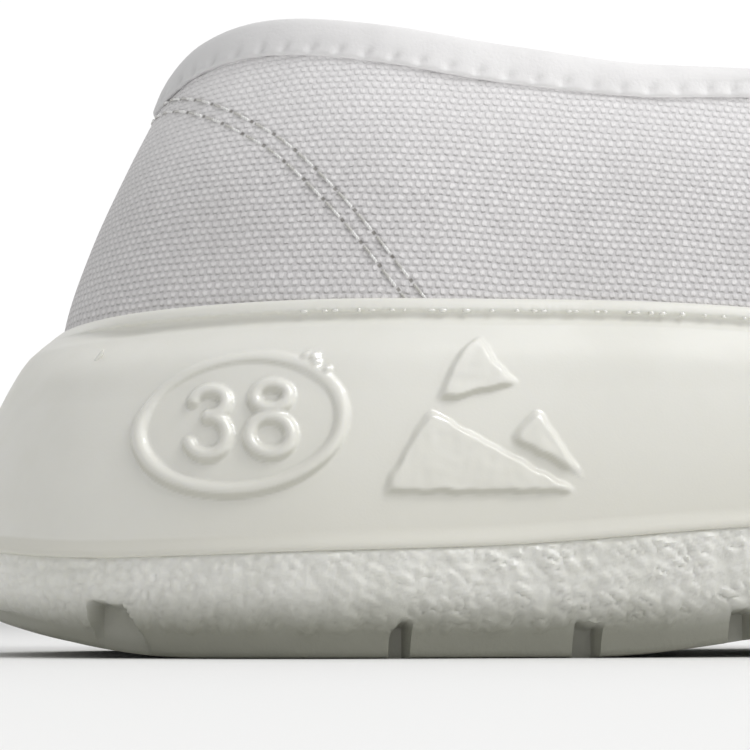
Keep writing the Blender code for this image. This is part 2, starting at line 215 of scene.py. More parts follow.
def spaced(length: Array, parameter: Array, pitch: Table) -> Array:
    """Parameters at a pitch that changes along a run.

    Args:
        length: Length run at each dense sample.
        parameter: Parameter at each dense sample.
        pitch: Table of the run and the pitch wanted there.

    Returns:
        Parameters from the first sample to the last.
    """
    wanted = np.interp(length, pitch.column("run"), pitch.column("pitch"))
    count = np.concatenate([[0.0], np.cumsum(np.diff(length) / ((wanted[1:] + wanted[:-1]) / 2.0))])
    return np.interp(np.linspace(0.0, count[-1], math.ceil(count[-1]) + 1), count, parameter)


def layers(*rows: Triple) -> Table:
    """Table of layers of smooth noise."""
    return Table(("share", "size", "seed"), rows)


def layered_noise(points: Array, over: Table) -> Array:
    """Sum of layers of smooth noise at many points."""
    return sum(share * soft_noise(points, size, seed) for share, size, seed in over.rows)


@dataclass(frozen=True)
class Last:
    """Foot shape that the canvas follows."""

    back: float = 12.0
    toe: float = 256.0
    throat: float = 0.555
    lean_reach: float = 0.30
    toe_limit: float = 0.999
    crest_least: float = 1e-6
    halvings: int = 60
    nearing_steps: int = 6
    sections: Table = Table(
        ("station", "lateral", "medial", "axis", "crest", "square"),
        (
            (0.00, 0.0, 0.0, 0.0, 78.0, 1.00),
            (0.05, 20.5, 20.5, 0.0, 78.3, 1.00),
            (0.13, 29.0, 28.5, 0.0, 79.0, 1.00),
            (0.25, 31.0, 29.0, 0.0, 82.0, 1.00),
            (0.36, 33.2, 27.8, 0.0, 82.0, 1.00),
            (0.45, 36.0, 28.4, 0.0, 73.5, 1.00),
            (0.52, 38.7, 30.4, 0.0, 64.5, 1.00),
            (0.60, 42.0, 34.8, 0.0, 54.5, 0.97),
            (0.68, 43.2, 38.8, 0.2, 47.0, 0.92),
            (0.76, 41.6, 39.8, 0.9, 41.0, 0.88),
            (0.84, 36.6, 37.6, 2.1, 35.0, 0.86),
            (0.91, 28.0, 31.2, 3.5, 28.0, 0.86),
            (0.97, 15.0, 18.0, 4.5, 17.5, 0.88),
            (1.00, 0.0, 0.0, 5.0, 0.0, 0.90),
        ),
    )
    levels: Table = Table(
        ("station", "footbed", "lip"),
        (
            (0.00, 21.0, 38.3), (0.15, 20.6, 39.3), (0.30, 19.2, 39.4), (0.42, 17.0, 37.0),
            (0.55, 14.0, 32.2), (0.68, 12.3, 28.9), (0.85, 13.4, 28.4), (1.00, 19.0, 32.5),
        ),
    )
    collar: Table = Table(
        ("station", "share"),
        (
            (0.00, 0.636), (0.012, 0.664), (0.06, 0.673), (0.13, 0.648), (0.20, 0.612),
            (0.28, 0.592), (0.36, 0.616), (0.43, 0.700), (0.50, 0.857), (0.555, 1.0),
        ),
    )
    lean: Table = Table(
        ("height", "shift"),
        (
            (0.0, 0.3), (9.0, -0.6), (18.0, 0.0), (28.0, 3.0), (38.0, 7.2), (48.0, 12.0),
            (58.0, 17.0),
        ),
    )

    def throat_at(self) -> float:
        """End-rounded parameter of the throat."""
        return float(end_rounded(self.throat))

    def footbed(self, s: Array) -> Array:
        """Height of the footbed."""
        return self.levels.along("footbed", s, True, True)

    def lip(self, s: Array) -> Array:
        """Height of the top of the sole lip round the canvas."""
        return self.levels.along("lip", s, True, True)

    def crest(self, s: Array) -> Array:
        """Height of the canvas crest above the footbed."""
        return self.sections.along("crest", s, True)

    def square(self, s: Array) -> Array:
        """Exponent of the section arch, below one for a squarer arch."""
        return self.sections.along("square", s, True, True)

    def point(self, sigma: Array, theta: Array) -> Array:
        """Point on the outer face of the canvas.

        Args:
            sigma: -1 at the toe on the outer side, 0 at the heel, 1 at the toe on the inner side.
            theta: 0 at the footbed, a right angle at the crest.

        Returns:
            Points in millimetres.
        """
        over = theta > RIGHT_ANGLE
        sigma = np.where(over, -sigma, sigma)
        theta = np.where(over, math.pi - theta, theta)
        s = np.abs(sigma)
        side = np.where(sigma < 0.0, -1.0, 1.0)
        half = np.where(side < 0.0, self.sections.along("lateral", s), self.sections.along("medial", s))
        axis = self.sections.along("axis", s, True, True)
        power = self.square(s)
        station = station_of(s)
        rise = self.crest(s) * np.clip(np.sin(theta), 0.0, 1.0) ** power
        lean = self.lean.curve("height", "shift", rise)
        lean = lean * np.clip(1.0 - station / self.lean_reach, 0.0, 1.0) ** 2
        x = self.back + (self.toe - self.back) * station + lean
        y = axis + side * half * np.clip(np.cos(theta), 0.0, 1.0) ** power
        return np.stack([x, y, self.footbed(s) + rise], axis=-1)

    def slopes(self, sigma: Array, theta: Array, step: float = 1e-4) -> tuple[Array, Array]:
        """Directions of the canvas face along sigma and theta.

        Args:
            sigma: Signed parameters of the points.
            theta: Section angles of the points.
            step: Small change to measure over.

        Returns:
            Change of the point with each parameter.
        """
        sigma = np.clip(sigma, -self.toe_limit, self.toe_limit)
        ahead = self.point(sigma + step, theta) - self.point(sigma - step, theta)
        low, high = np.maximum(theta - step, 0.0), theta + step
        rise = (self.point(sigma, high) - self.point(sigma, low)) / (high - low)[..., None]
        return ahead / (2.0 * step), rise

    def normal(self, sigma: Array, theta: Array) -> Array:
        """Outward direction of the canvas face."""
        return unit(-np.cross(*self.slopes(sigma, theta)))

    def shell(self, sigma: Array, theta: Array, out: Array) -> Array:
        """Point a distance out from the canvas face."""
        return self.point(sigma, theta) + np.asarray(out)[..., None] * self.normal(sigma, theta)

    def angle_at(self, s: Array, height: Array) -> Array:
        """Section angle at a height above the ground, a right angle where the crest is lower."""
        share = (height - self.footbed(s)) / np.maximum(self.crest(s), self.crest_least)
        return np.arcsin(np.clip(share, 0.0, 1.0) ** (1.0 / self.square(s)))

    def collar_angle(self, s: Array) -> Array:
        """Section angle of the collar edge, a right angle forward of the throat.

        Args:
            s: End-rounded parameters.

        Returns:
            Section angles.
        """
        share = np.clip(self.collar.along("share", s, True), 0.0, 1.0)
        share = np.where(s >= self.throat_at() - HAIR, 1.0, share)
        return np.arcsin(share ** (1.0 / self.square(s)))

    def level_ring(self, sigma: Array, share: float, out: float) -> tuple[Array, Array]:
        """Ring round the canvas at a share of the lip height, its toe on the crest.

        Args:
            sigma: Signed parameters round the ring.
            share: Share of the height from the footbed to the lip.
            out: Distance out from the canvas.

        Returns:
            Points of the ring and its outward plan directions.
        """
        low, high = 0.5, 1.0
        for _ in range(self.halvings):
            middle = (low + high) / 2.0
            if self.crest(middle) > share * (self.lip(middle) - self.footbed(middle)):
                low = middle
            else:
                high = middle
        u = np.abs(sigma)
        s = end_rounded(station_of(high) * station_of(u))
        theta = self.angle_at(s, self.footbed(s) + share * (self.lip(s) - self.footbed(s)))
        if share > 0.0:
            theta = np.where(u > 1.0 - HAIR, RIGHT_ANGLE, theta)
        signed = np.where(sigma < 0.0, -s, s)
        flat = unit(self.normal(signed, theta)[..., :2])
        return self.shell(signed, theta, np.full_like(s, out)), flat

    def below_edge(self, sigma: Array, theta: Array, run: Array, below: Array) -> tuple[Array, Array]:
        """Surface parameters a distance below an edge, square to its run.

        Args:
            sigma: Signed parameters of the edge.
            theta: Section angles of the edge.
            run: Unit directions along the edge.
            below: Distance below the edge at each point.

        Returns:
            Signed parameters and section angles of the points below.
        """
        start, normal = self.point(sigma, theta), self.normal(sigma, theta)
        down = unit(np.cross(normal, run))
        at_sigma, at_theta = sigma.copy(), theta.copy()
        for _ in range(self.nearing_steps):
            gone = self.point(at_sigma, at_theta) - start
            miss_run = -np.sum(gone * run, axis=1)
            miss_down = below - np.sum(gone * down, axis=1)
            ahead, rise = self.slopes(at_sigma, at_theta)
            a, b = np.sum(ahead * run, axis=1), np.sum(rise * run, axis=1)
            c, d = np.sum(ahead * down, axis=1), np.sum(rise * down, axis=1)
            size = a * d - b * c
            at_sigma = at_sigma + (d * miss_run - b * miss_down) / size
            at_theta = at_theta + (a * miss_down - c * miss_run) / size
        return at_sigma, at_theta


@dataclass(frozen=True)
class SolePlan:
    """Outline and heights of the moulded sole."""

    length: float = 262.0
    ledge_out: float = 0.45
    samples: int = 6001
    rim_samples: int = 4001
    plan: Table = Table(
        ("station", "lateral", "medial", "axis"),
        (
            (0.00, 0.0, 0.0, 0.0),
            (0.05, 25.5, 25.5, 0.0),
            (0.13, 35.0, 34.5, 0.0),
            (0.25, 36.5, 33.5, 0.0),
            (0.40, 38.5, 30.5, 0.0),
            (0.52, 43.0, 33.5, 0.0),
            (0.63, 47.5, 41.0, 0.0),
            (0.73, 47.5, 44.5, 0.5),
            (0.83, 42.5, 43.0, 2.0),
            (0.91, 33.0, 36.0, 3.5),
            (0.97, 19.0, 22.0, 4.5),
            (1.00, 0.0, 0.0, 5.0),
        ),
    )
    ledge_levels: Table = Table(
        ("station", "ledge"),
        (
            (0.00, 12.9), (0.06, 10.9), (0.14, 11.5), (0.22, 12.3), (0.34, 14.7), (0.42, 15.4),
            (0.52, 14.0), (0.72, 11.4), (0.85, 12.0), (1.00, 17.5),
        ),
    )
    tread_line: Table = Table(
        ("along", "height", "slope"),
        (
            (0.0, 6.5, -0.46), (26.0, 0.0, 0.0), (66.0, 0.0, 0.0), (108.0, 4.2, 0.0),
            (148.0, 0.0, 0.0), (214.0, 0.0, 0.0), (262.0, 8.5, 0.36),
        ),
    )

    def outline(self, sigma: Array) -> Array:
        """Plan point of the sole at its ledge.

        Args:
            sigma: Signed parameters round the sole.

        Returns:
            Places along and across in millimetres.
        """
        sigma = np.where(sigma > 1.0, sigma - 2.0, sigma)
        s = np.abs(sigma)
        half = np.where(sigma < 0.0, -self.plan.along("lateral", s), self.plan.along("medial", s))
        y = self.plan.along("axis", s, True, True) + half
        return np.stack([self.length * station_of(s), y], axis=-1)

    def outward(self, sigma: Array, step: float = 1e-4) -> Array:
        """Outward plan direction of the outline.

        Args:
            sigma: Signed parameters round the sole.
            step: Small change to measure over.

        Returns:
            Unit directions in plan.
        """
        run = self.outline(sigma + step) - self.outline(sigma - step)
        return unit(np.stack([-run[..., 1], run[..., 0]], axis=-1))

    def ledge(self, sigma: Array) -> Array:
        """Height of the side ledge."""
        return self.ledge_levels.along("ledge", np.abs(sigma), True, True)

    def tread(self, x: Array) -> Array:
        """Height of the tread face along the sole."""
        line = self.tread_line
        return hermite(line.column("along"), line.column("height"), line.column("slope"), x)

    def middle(self) -> Array:
        """Middle of the shoe's plan, where the frame has its origin.

        Returns:
            Point on the ground in millimetres.
        """
        sigma = np.linspace(-1.0, 1.0, self.rim_samples)
        rim = self.outline(sigma) + self.ledge_out * self.outward(sigma)
        return np.array([self.length / 2.0, (rim[:, 1].max() + rim[:, 1].min()) / 2.0, 0.0])

    def columns(self, side: Side, pitch: Table) -> Array:
        """Parameters along one side at a pitch along the ledge.

        Args:
            side: Side of the foot.
            pitch: Table of the run from the heel and the pitch wanted there.

        Returns:
            Parameters from the heel, 0, to the toe, 1.
        """
        u = np.linspace(0.0, 1.0, self.samples)
        return spaced(run_length(self.outline(side.value * u), 0), u, pitch)


LAST = Last()
SOLE = SolePlan()
MIDDLE = SOLE.middle()


class Bench:
    """Modelling steps that every piece goes through."""

    MERGE = 2e-6
    SLIVER = 1e-7

    @staticmethod
    def pick_only(piece: Object) -> None:
        """Select one object and make it active.

        Args:
            piece: Object to select.
        """
        bpy.ops.object.select_all(action="DESELECT")
        piece.select_set(True)
        bpy.context.view_layer.objects.active = piece

    @staticmethod
    def grid(name: str, points: Array) -> Object:
        """Grid primitive laid on rows of points.

        Args:
            name: Name of the piece.
            points: Rows of points in millimetres from the back of the sole.

        Returns:
            The piece, its place in its mesh.
        """
        rows, columns = points.shape[:2]
        bpy.ops.object.select_all(action="DESELECT")
        bpy.ops.mesh.primitive_grid_add(x_subdivisions=columns - 1, y_subdivisions=rows - 1, calc_uvs=False)
        piece = bpy.context.object
        piece.name = name
        piece.data.name = name
        piece.data.vertices.foreach_set("co", ((points - MIDDLE) * MM).astype(np.float32).ravel())
        piece.data.update()
        return piece

    @staticmethod
    def add_uv(piece: Object, values: Array) -> None:
        """Give a grid a UV map in millimetres of cloth or thread.

        Args:
            piece: Grid to map.
            values: Place on the map for each point of the grid.
        """
        layer = piece.data.uv_layers.new(name="lay")
        corner = np.zeros(len(piece.data.loops), int)
        piece.data.loops.foreach_get("vertex_index", corner)
        layer.uv.foreach_set("vector", values.reshape(-1, 2)[corner].astype(np.float32).ravel())

    @staticmethod
    def add_field(piece: Object, name: str, values: Array) -> None:
        """Give a piece a named value at each vertex."""
        field = piece.data.attributes.new(name, "FLOAT", "POINT")
        field.data.foreach_set("value", values.astype(np.float32).ravel())

    @staticmethod
    def join(pieces: list[Object]) -> Object:
        """Join pieces into the first one.

        Args:
            pieces: Pieces to join.

        Returns:
            The first piece, holding all.
        """
        Bench.pick_only(pieces[0])
        for other in pieces[1:]:
            other.select_set(True)
        bpy.ops.object.join()
        return pieces[0]

    @staticmethod
    def close(piece: Object) -> None:
        """Merge coincident vertices and turn the faces outwards.

        Args:
            piece: Piece to close.
        """
        Bench.pick_only(piece)
        bpy.ops.object.mode_set(mode="EDIT")
        bpy.ops.mesh.select_all(action="SELECT")
        bpy.ops.mesh.remove_doubles(threshold=Bench.MERGE)
        bpy.ops.mesh.dissolve_degenerate(threshold=Bench.SLIVER)
        bpy.ops.mesh.normals_make_consistent(inside=False)
        bpy.ops.object.mode_set(mode="OBJECT")
        bpy.ops.object.shade_smooth()

    @staticmethod
    def wall(piece: Object, thickness: float) -> None:
        """Give a sheet its wall inwards, the inner face in the second finish.

        Args:
            piece: Sheet with its outer face modelled.
            thickness: Wall in millimetres.
        """
        Bench.pick_only(piece)
        solid = piece.modifiers.new("wall", "SOLIDIFY")
        solid.thickness = thickness * MM
        solid.offset = -1.0
        solid.material_offset = 1
        solid.material_offset_rim = 1
        bpy.ops.object.modifier_apply(modifier=solid.name)

    @staticmethod
    def fit(piece: Object, node: str, *finishes: Material) -> None:
        """Dress a piece, hang it on the shoe and stand it for its CAD node.

        Args:
            piece: Finished piece.
            node: CAD node that it stands for.
            finishes: Materials in slot order.
        """
        for finish in finishes:
            piece.data.materials.append(finish)
        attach(piece, "root")
        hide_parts(node)
        triangles = sum(len(face.vertices) - 2 for face in piece.data.polygons)
        LOG.info("%s: %d triangles", piece.name, triangles)


class Graph:
    """Shorthand to add and link shader nodes."""

    MIX_INPUTS = (0, 6, 7)
    MIX_RESULT = 2

    def __init__(self, tree: NodeTree) -> None:
        """Work on one node tree."""
        self.tree = tree

    def node(self, kind: str, **settings: object) -> Node:
        """Add a node.

        Args:
            kind: Type of the node.
            settings: Values of its settings by name.

        Returns:
            The node.
        """
        made = self.tree.nodes.new(kind)
        for name, value in settings.items():
            setattr(made, name, value)
        return made

    def feed(self, socket: Socket, value: object) -> None:
        """Link an output to a socket, or set the socket's own value.

        Args:
            socket: Socket to feed.
            value: Output of another node, or a plain value.
        """
        if isinstance(value, Socket):
            self.tree.links.new(value, socket)
        else:
            socket.default_value = value

    def fill(self, made: Node, *values: object, **named: object) -> Node:
        """Feed the inputs of a node.

        Args:
            made: Node to feed.
            values: Values of its first inputs in order.
            named: Values of inputs by name, a low line standing for a blank.

        Returns:
            The node.
        """
        for socket, value in zip(made.inputs, values):
            self.feed(socket, value)
        for name, value in named.items():
            self.feed(made.inputs[name.replace("_", " ")], value)
        return made

    def place(self) -> Socket:
        """Place on the piece in metres."""
        return self.node("ShaderNodeTexCoord").outputs["Object"]

    def lay(self) -> Socket:
        """Place on the piece's own map in millimetres."""
        return self.node("ShaderNodeUVMap", uv_map="lay").outputs[0]

    def field(self, name: str) -> Socket:
        """Named value of the piece at each vertex."""
        return self.node("ShaderNodeAttribute", attribute_name=name).outputs["Fac"]

    def split(self, vector: Socket) -> list[Socket]:
        """Parts of a vector along the three axes."""
        return list(self.fill(self.node("ShaderNodeSeparateXYZ"), vector).outputs)

    def math(self, operation: str, *values: object) -> Socket:
        """Result of a math node."""
        return self.fill(self.node("ShaderNodeMath", operation=operation), *values).outputs[0]

    def times(self, one: object, two: object) -> Socket:
        """Product of two values."""
        return self.math("MULTIPLY", one, two)

    def off_middle(self, value: Socket) -> Socket:
        """Distance of a value's fraction from one half."""
        return self.math("ABSOLUTE", self.math("SUBTRACT", self.math("FRACT", value), 0.5))

    def vector(self, operation: str, *values: object) -> Socket:
        """Vector result of a vector math node."""
        return self.fill(self.node("ShaderNodeVectorMath", operation=operation), *values).outputs[0]

    def scaled(self, vector: Socket, scale: object) -> Socket:
        """A vector times a number."""
        made = self.node("ShaderNodeVectorMath", operation="SCALE")
        return self.fill(made, vector, Scale=scale).outputs[0]

    def ramp(self, value: Socket, low: float, high: float, first: float = 0.0, last: float = 1.0) -> Socket:
        """Soft ramp of a value from one level to another."""
        made = self.node("ShaderNodeMapRange", interpolation_type="SMOOTHSTEP")
        return self.fill(made, value, low, high, first, last).outputs[0]

    def fall(self, value: Socket, low: float, high: float) -> Socket:
        """Soft ramp of a value down from one to nothing."""
        return self.ramp(value, low, high, 1.0, 0.0)

    def tint(self, factor: object, one: object, two: object) -> Socket:
        """Colour between two colours.

        Args:
            factor: Share of the second colour.
            one: First colour.
            two: Second colour.

        Returns:
            The colour.
        """
        made = self.node("ShaderNodeMix", data_type="RGBA", blend_type="MIX")
        for place, entry in zip(self.MIX_INPUTS, (factor, one, two)):
            self.feed(made.inputs[place], entry)
        return made.outputs[self.MIX_RESULT]

    def noise(self, vector: Socket, scale: object, detail: float = 2.0, rough: float = 0.5) -> Sockets:
        """Outputs of a noise texture on a vector."""
        made = self.node("ShaderNodeTexNoise")
        return self.fill(made, Vector=vector, Scale=scale, Detail=detail, Roughness=rough).outputs

    def bump(self, height: Socket, distance: float, under: Socket | None = None) -> Socket:
        """Normal of a bump.

        Args:
            height: Height over the face.
            distance: Metres that a height of one stands for.
            under: Normal that the bump lies on, if not the face's own.

        Returns:
            The normal.
        """
        made = self.fill(self.node("ShaderNodeBump"), Strength=1.0, Distance=distance, Height=height)
        if under is not None:
            self.feed(made.inputs["Normal"], under)
        return made.outputs[0]

    def group(self, tree: NodeTree, **values: object) -> Sockets:
        """Outputs of a node group that is given values for its named inputs."""
        return self.fill(self.node("ShaderNodeGroup", node_tree=tree), **values).outputs


class Effects:
    """Shader node groups that more than one finish uses."""

    grey: Triple = (0.5, 0.5, 0.5)
    drift_scale: float = 0.22
    drift_detail: float = 3.0
    fuzz_scale: float = 2.8
    fuzz: float = 0.34
    float_half: Pair = (0.32, 0.38)
    float_edge: float = 1.73
    ply_half: float = 0.07
    ply_dip: float = 0.86
    weft_arch: Pair = (-1.8, 0.45)
    weft_cover: float = 0.6
    # Reach of the painted shade below and above each warp float.
    below_rise: Pair = (-0.50, -0.20)
    below_reach: Pair = (0.14, 0.40)
    above_rise: Pair = (0.34, 0.50)
    above_reach: Pair = (0.10, 0.36)
    smudge_noise: Triple = (70.0, 4.0, 0.6)
    smudge_span: Pair = (0.42, 0.72)
    speck_chance: float = 0.72
    grain_detail: float = 3.0

    def __init__(self) -> None:
        """Build each group once."""
        self.weave = self._weave()
        self.soil = self._soil()
        self.grain = self._grain()

    def woven(self, graph: Graph, pitch: Pair, wander: float) -> Sockets:
        """Outputs of the weave, with the pitch of its ends and of its rows."""
        return graph.group(self.weave, Lay=graph.lay(), Across=pitch[0], Rows=pitch[1], Wander=wander)

    def soiled(self, graph: Graph, specks: Pair = (0.0, 0.0)) -> Sockets:
        """Outputs of the soiling, with the scale and the size of its specks."""
        return graph.group(self.soil, Place=graph.place(), Speck_Scale=specks[0], Speck_Size=specks[1])

    def grained(self, graph: Graph, scales: Pair) -> Sockets:
        """Outputs of the grain, with its fine and its broad scale."""
        return graph.group(self.grain, Place=graph.place(), Fine=scales[0], Broad=scales[1])

    @staticmethod
    def _tree(name: str, inputs: tuple[str, ...], outputs: tuple[str, ...]) -> tuple[Graph, Sockets, Sockets]:
        """Empty group with named sockets.

        Args:
            name: Name of the group.
            inputs: Names of the inputs, the first one a vector.
            outputs: Names of the outputs.

        Returns:
            Graph of the group, its input sockets and its output sockets.
        """
        tree = bpy.data.node_groups.new(name, "ShaderNodeTree")
        for label in inputs:
            kind = "NodeSocketVector" if label == inputs[0] else "NodeSocketFloat"
            tree.interface.new_socket(label, in_out="INPUT", socket_type=kind)
        for label in outputs:
            tree.interface.new_socket(label, in_out="OUTPUT", socket_type="NodeSocketFloat")
        graph = Graph(tree)
        start, end = graph.node("NodeGroupInput"), graph.node("NodeGroupOutput")
        return graph, start.outputs, end.inputs

    def _weave(self) -> NodeTree:
        """Plain weave on a map in millimetres: warp floats in a brick lattice over the weft, with masks for
        painted shade.

        Returns:
            The group.
        """
        outputs = ("Height", "Float", "Crossing", "Slub")
        graph, given, out = self._tree("plain_weave", ("Lay", "Across", "Rows", "Wander"), outputs)
        drift = graph.noise(given["Lay"], self.drift_scale, self.drift_detail)["Color"]
        moved = graph.scaled(graph.vector("SUBTRACT", drift, self.grey), given["Wander"])
        fuzz = graph.noise(given["Lay"], self.fuzz_scale)["Color"]
        fibres = graph.scaled(graph.vector("SUBTRACT", fuzz, self.grey), self.fuzz)
        x, y, _ = graph.split(graph.vector("ADD", graph.vector("ADD", given["Lay"], moved), fibres))
        picks = graph.math("DIVIDE", y, given["Rows"])
        pick_number = graph.math("FLOOR", picks)
        half_step = graph.times(graph.math("FLOORED_MODULO", pick_number, 2.0), 0.5)
        ends = graph.math("ADD", graph.math("DIVIDE", x, given["Across"]), half_step)
        across = graph.off_middle(ends)
        up = graph.math("SUBTRACT", graph.math("FRACT", picks), 0.5)
        along = graph.math("ABSOLUTE", up)
        wide = graph.math("POWER", graph.math("DIVIDE", across, self.float_half[0]), 2.0)
        tall = graph.math("POWER", graph.math("DIVIDE", along, self.float_half[1]), 2.0)
        warp = graph.fall(graph.math("ADD", wide, tall), 0.0, self.float_edge)
        # The float mask dips between its two plies: painted shade.
        plies = graph.ramp(across, 0.0, self.ply_half, self.ply_dip, 1.0)
        weft = graph.math("MULTIPLY_ADD", graph.times(up, up), *self.weft_arch)
        lift = graph.times(warp, graph.math("SUBTRACT", plies, graph.times(weft, self.weft_cover)))
        # Crossing: painted shade just below and above each float, where it dives under the weft.
        low, near = graph.fall(up, *self.below_rise), graph.fall(across, *self.below_reach)
        high, far = graph.ramp(up, *self.above_rise), graph.ramp(across, *self.above_reach)
        place = graph.node("ShaderNodeCombineXYZ")
        graph.fill(place, graph.math("FLOOR", ends), pick_number)
        chance = graph.node("ShaderNodeTexWhiteNoise", noise_dimensions="2D")
        graph.fill(chance, Vector=place.outputs[0])
        graph.feed(out["Height"], graph.math("ADD", weft, lift))
        graph.feed(out["Float"], graph.times(warp, plies))
        graph.feed(out["Crossing"], graph.math("MAXIMUM", graph.times(low, near), graph.times(high, far)))
        graph.feed(out["Slub"], chance.outputs["Value"])
        return graph.tree

    def _soil(self) -> NodeTree:
        """Broad smudges and sparse dark specks.

        Returns:
            The group.
        """
        inputs = ("Place", "Speck Scale", "Speck Size")
        graph, given, out = self._tree("soiling", inputs, ("Smudge", "Speck"))
        smudge = graph.noise(given["Place"], *self.smudge_noise)["Fac"]
        graph.feed(out["Smudge"], graph.ramp(smudge, *self.smudge_span))
        cells = graph.node("ShaderNodeTexVoronoi", feature="F1")
        graph.fill(cells, Vector=given["Place"], Scale=given["Speck Scale"])
        dot = graph.math("LESS_THAN", cells.outputs["Distance"], given["Speck Size"])
        tone = graph.fill(graph.node("ShaderNodeSeparateColor"), cells.outputs["Color"])
        chosen = graph.math("GREATER_THAN", tone.outputs[0], self.speck_chance)
        graph.feed(out["Speck"], graph.times(dot, chosen))
        return graph.tree

    def _grain(self) -> NodeTree:
        """Fine orange-peel grain of a moulding, with slow waves.

        Returns:
            The group.
        """
        graph, given, out = self._tree("moulding_grain", ("Place", "Fine", "Broad"), ("Fine", "Broad"))
        for label in ("Fine", "Broad"):
            graph.feed(out[label], graph.noise(given["Place"], given[label], self.grain_detail)["Fac"])
        return graph.tree


def new_finish(name: str, roughness: float, specular: float) -> tuple[Material, Graph, Node]:
    """Material with its shader.

    Args:
        name: Name of the finish.
        roughness: Plain roughness of the shader.
        specular: Specular level of the shader.

    Returns:
        The material, a graph on its nodes and its shader node.
    """
    material = bpy.data.materials.new(name)
    material.use_nodes = True
    graph = Graph(material.node_tree)
    shader = material.node_tree.nodes["Principled BSDF"]
    graph.fill(shader, Roughness=roughness, Specular_IOR_Level=specular)
    return material, graph, shader


@dataclass(frozen=True)
class CanvasFinish:
    """White cotton canvas in a plain weave, with the sewn furrows of its stitch rows."""

    thread: Colour = (0.99, 0.97, 0.975, 1.0)
    # The weft is painted darker than the floats and the gap darker still: painted shade where the yarns lie
    # low.
    weft: Colour = (0.72, 0.705, 0.712, 1.0)
    gap: Colour = (0.32, 0.305, 0.31, 1.0)
    # Colour of the painted light near the collar.
    top_light: Colour = (0.97, 0.955, 0.96, 1.0)
    # Colour of the smudges and of the painted shade low on the canvas.
    dust_and_shade: Colour = (0.60, 0.585, 0.58, 1.0)
    # Colour of the dark specks and of the painted shade in the needle holes.
    hole: Colour = (0.16, 0.15, 0.125, 1.0)
    roughness: float = 0.92
    specular: float = 0.25
    sheen: float = 0.12
    sheen_roughness: float = 0.5
    end_pitch: float = 1.0
    row_pitch: float = 0.84
    wander: float = 0.55
    relief: float = 0.00012
    heel_fade: Pair = (-0.140, -0.128)
    heel_lean: float = -0.39
    heel_plain: float = 0.35
    slub_floats: Pair = (0.55, 1.0)
    slub_dashes: Pair = (0.85, 0.40)
    unshaded_above: Pair = (0.044, 0.062)
    lower_shade: float = 0.20
    top_light_above: Pair = (0.050, 0.068)
    top_light_share: float = 0.58
    smudge_share: float = 0.18
    speck_cells: Pair = (160.0, 0.035)
    speck_share: float = 0.30
    furrow_reach: Pair = (0.10, 0.60)
    furrow_shade: float = 0.14
    furrow_depth: float = 0.6
    hole_length: Pair = (0.035, 0.095)
    hole_reach: Pair = (0.10, 0.28)
    hole_shade: float = 0.70
    hole_depth: float = 0.8
    fluff_scale: float = 4.5
    fluff_depth: float = 0.22

    def material(self, effects: Effects, row_gap: float, stitch: float) -> Material:
        """Build the material.

        Args:
            effects: Shared node groups.
            row_gap: Distance from the seam's middle to each stitch row in millimetres.
            stitch: Stitch length in millimetres.

        Returns:
            The material.
        """
        material, graph, shader = new_finish("white_canvas", self.roughness, self.specular)
        weave = effects.woven(graph, (self.end_pitch, self.row_pitch), self.wander)
        soil = effects.soiled(graph, self.speck_cells)
        x, _, z = graph.split(graph.place())
        upright = graph.math("MULTIPLY_ADD", z, self.heel_lean, x)
        plain = graph.ramp(upright, *self.heel_fade, self.heel_plain, 1.0)
        floats = graph.times(weave["Float"], graph.ramp(weave["Slub"], 0.0, 1.0, *self.slub_floats))
        dashes = graph.times(weave["Crossing"], graph.ramp(weave["Slub"], 0.0, 1.0, *self.slub_dashes))
        # Painted shade: the weft is darker than the floats, and darker still where the floats cross under it.
        cloth = graph.tint(graph.times(floats, plain), self.weft, self.thread)
        cloth = graph.tint(graph.times(dashes, plain), cloth, self.gap)
        # Painted shade: the canvas darkens below a height, mixed with its real smudges in one colour.
        lower_shaded = graph.ramp(z, *self.unshaded_above, self.lower_shade, 0.0)
        dust_and_shade_share = graph.math("MULTIPLY_ADD", soil["Smudge"], self.smudge_share, lower_shaded)
        cloth = graph.tint(dust_and_shade_share, cloth, self.dust_and_shade)
        cloth = graph.tint(graph.times(soil["Speck"], self.speck_share), cloth, self.hole)
        # Painted light: the canvas is lighter towards the collar.
        new = graph.ramp(z, *self.top_light_above, 0.0, self.top_light_share)
        cloth = graph.tint(graph.times(new, plain), cloth, self.top_light)
        off_seam = graph.math("ABSOLUTE", graph.field("seam_across"))
        off_row = graph.math("ABSOLUTE", graph.math("SUBTRACT", off_seam, row_gap))
        furrow = graph.fall(off_row, *self.furrow_reach)
        off_hole = graph.off_middle(graph.math("DIVIDE", graph.field("seam_along"), stitch))
        hole = graph.times(graph.fall(off_hole, *self.hole_length), graph.fall(off_row, *self.hole_reach))
        # Painted shade in the stitch furrows and the needle holes.
        cloth = graph.tint(graph.times(furrow, self.furrow_shade), cloth, self.gap)
        cloth = graph.tint(graph.times(hole, self.hole_shade), cloth, self.hole)
        fluff = graph.noise(graph.lay(), self.fluff_scale)["Fac"]
        height = graph.math("MULTIPLY_ADD", fluff, self.fluff_depth, weave["Height"])
        for dent, depth in ((furrow, self.furrow_depth), (hole, self.hole_depth)):
            height = graph.math("SUBTRACT", height, graph.times(dent, depth))
        graph.fill(shader, Base_Color=cloth, Normal=graph.bump(height, self.relief))
        graph.fill(shader, Sheen_Weight=self.sheen, Sheen_Roughness=self.sheen_roughness)
        return material


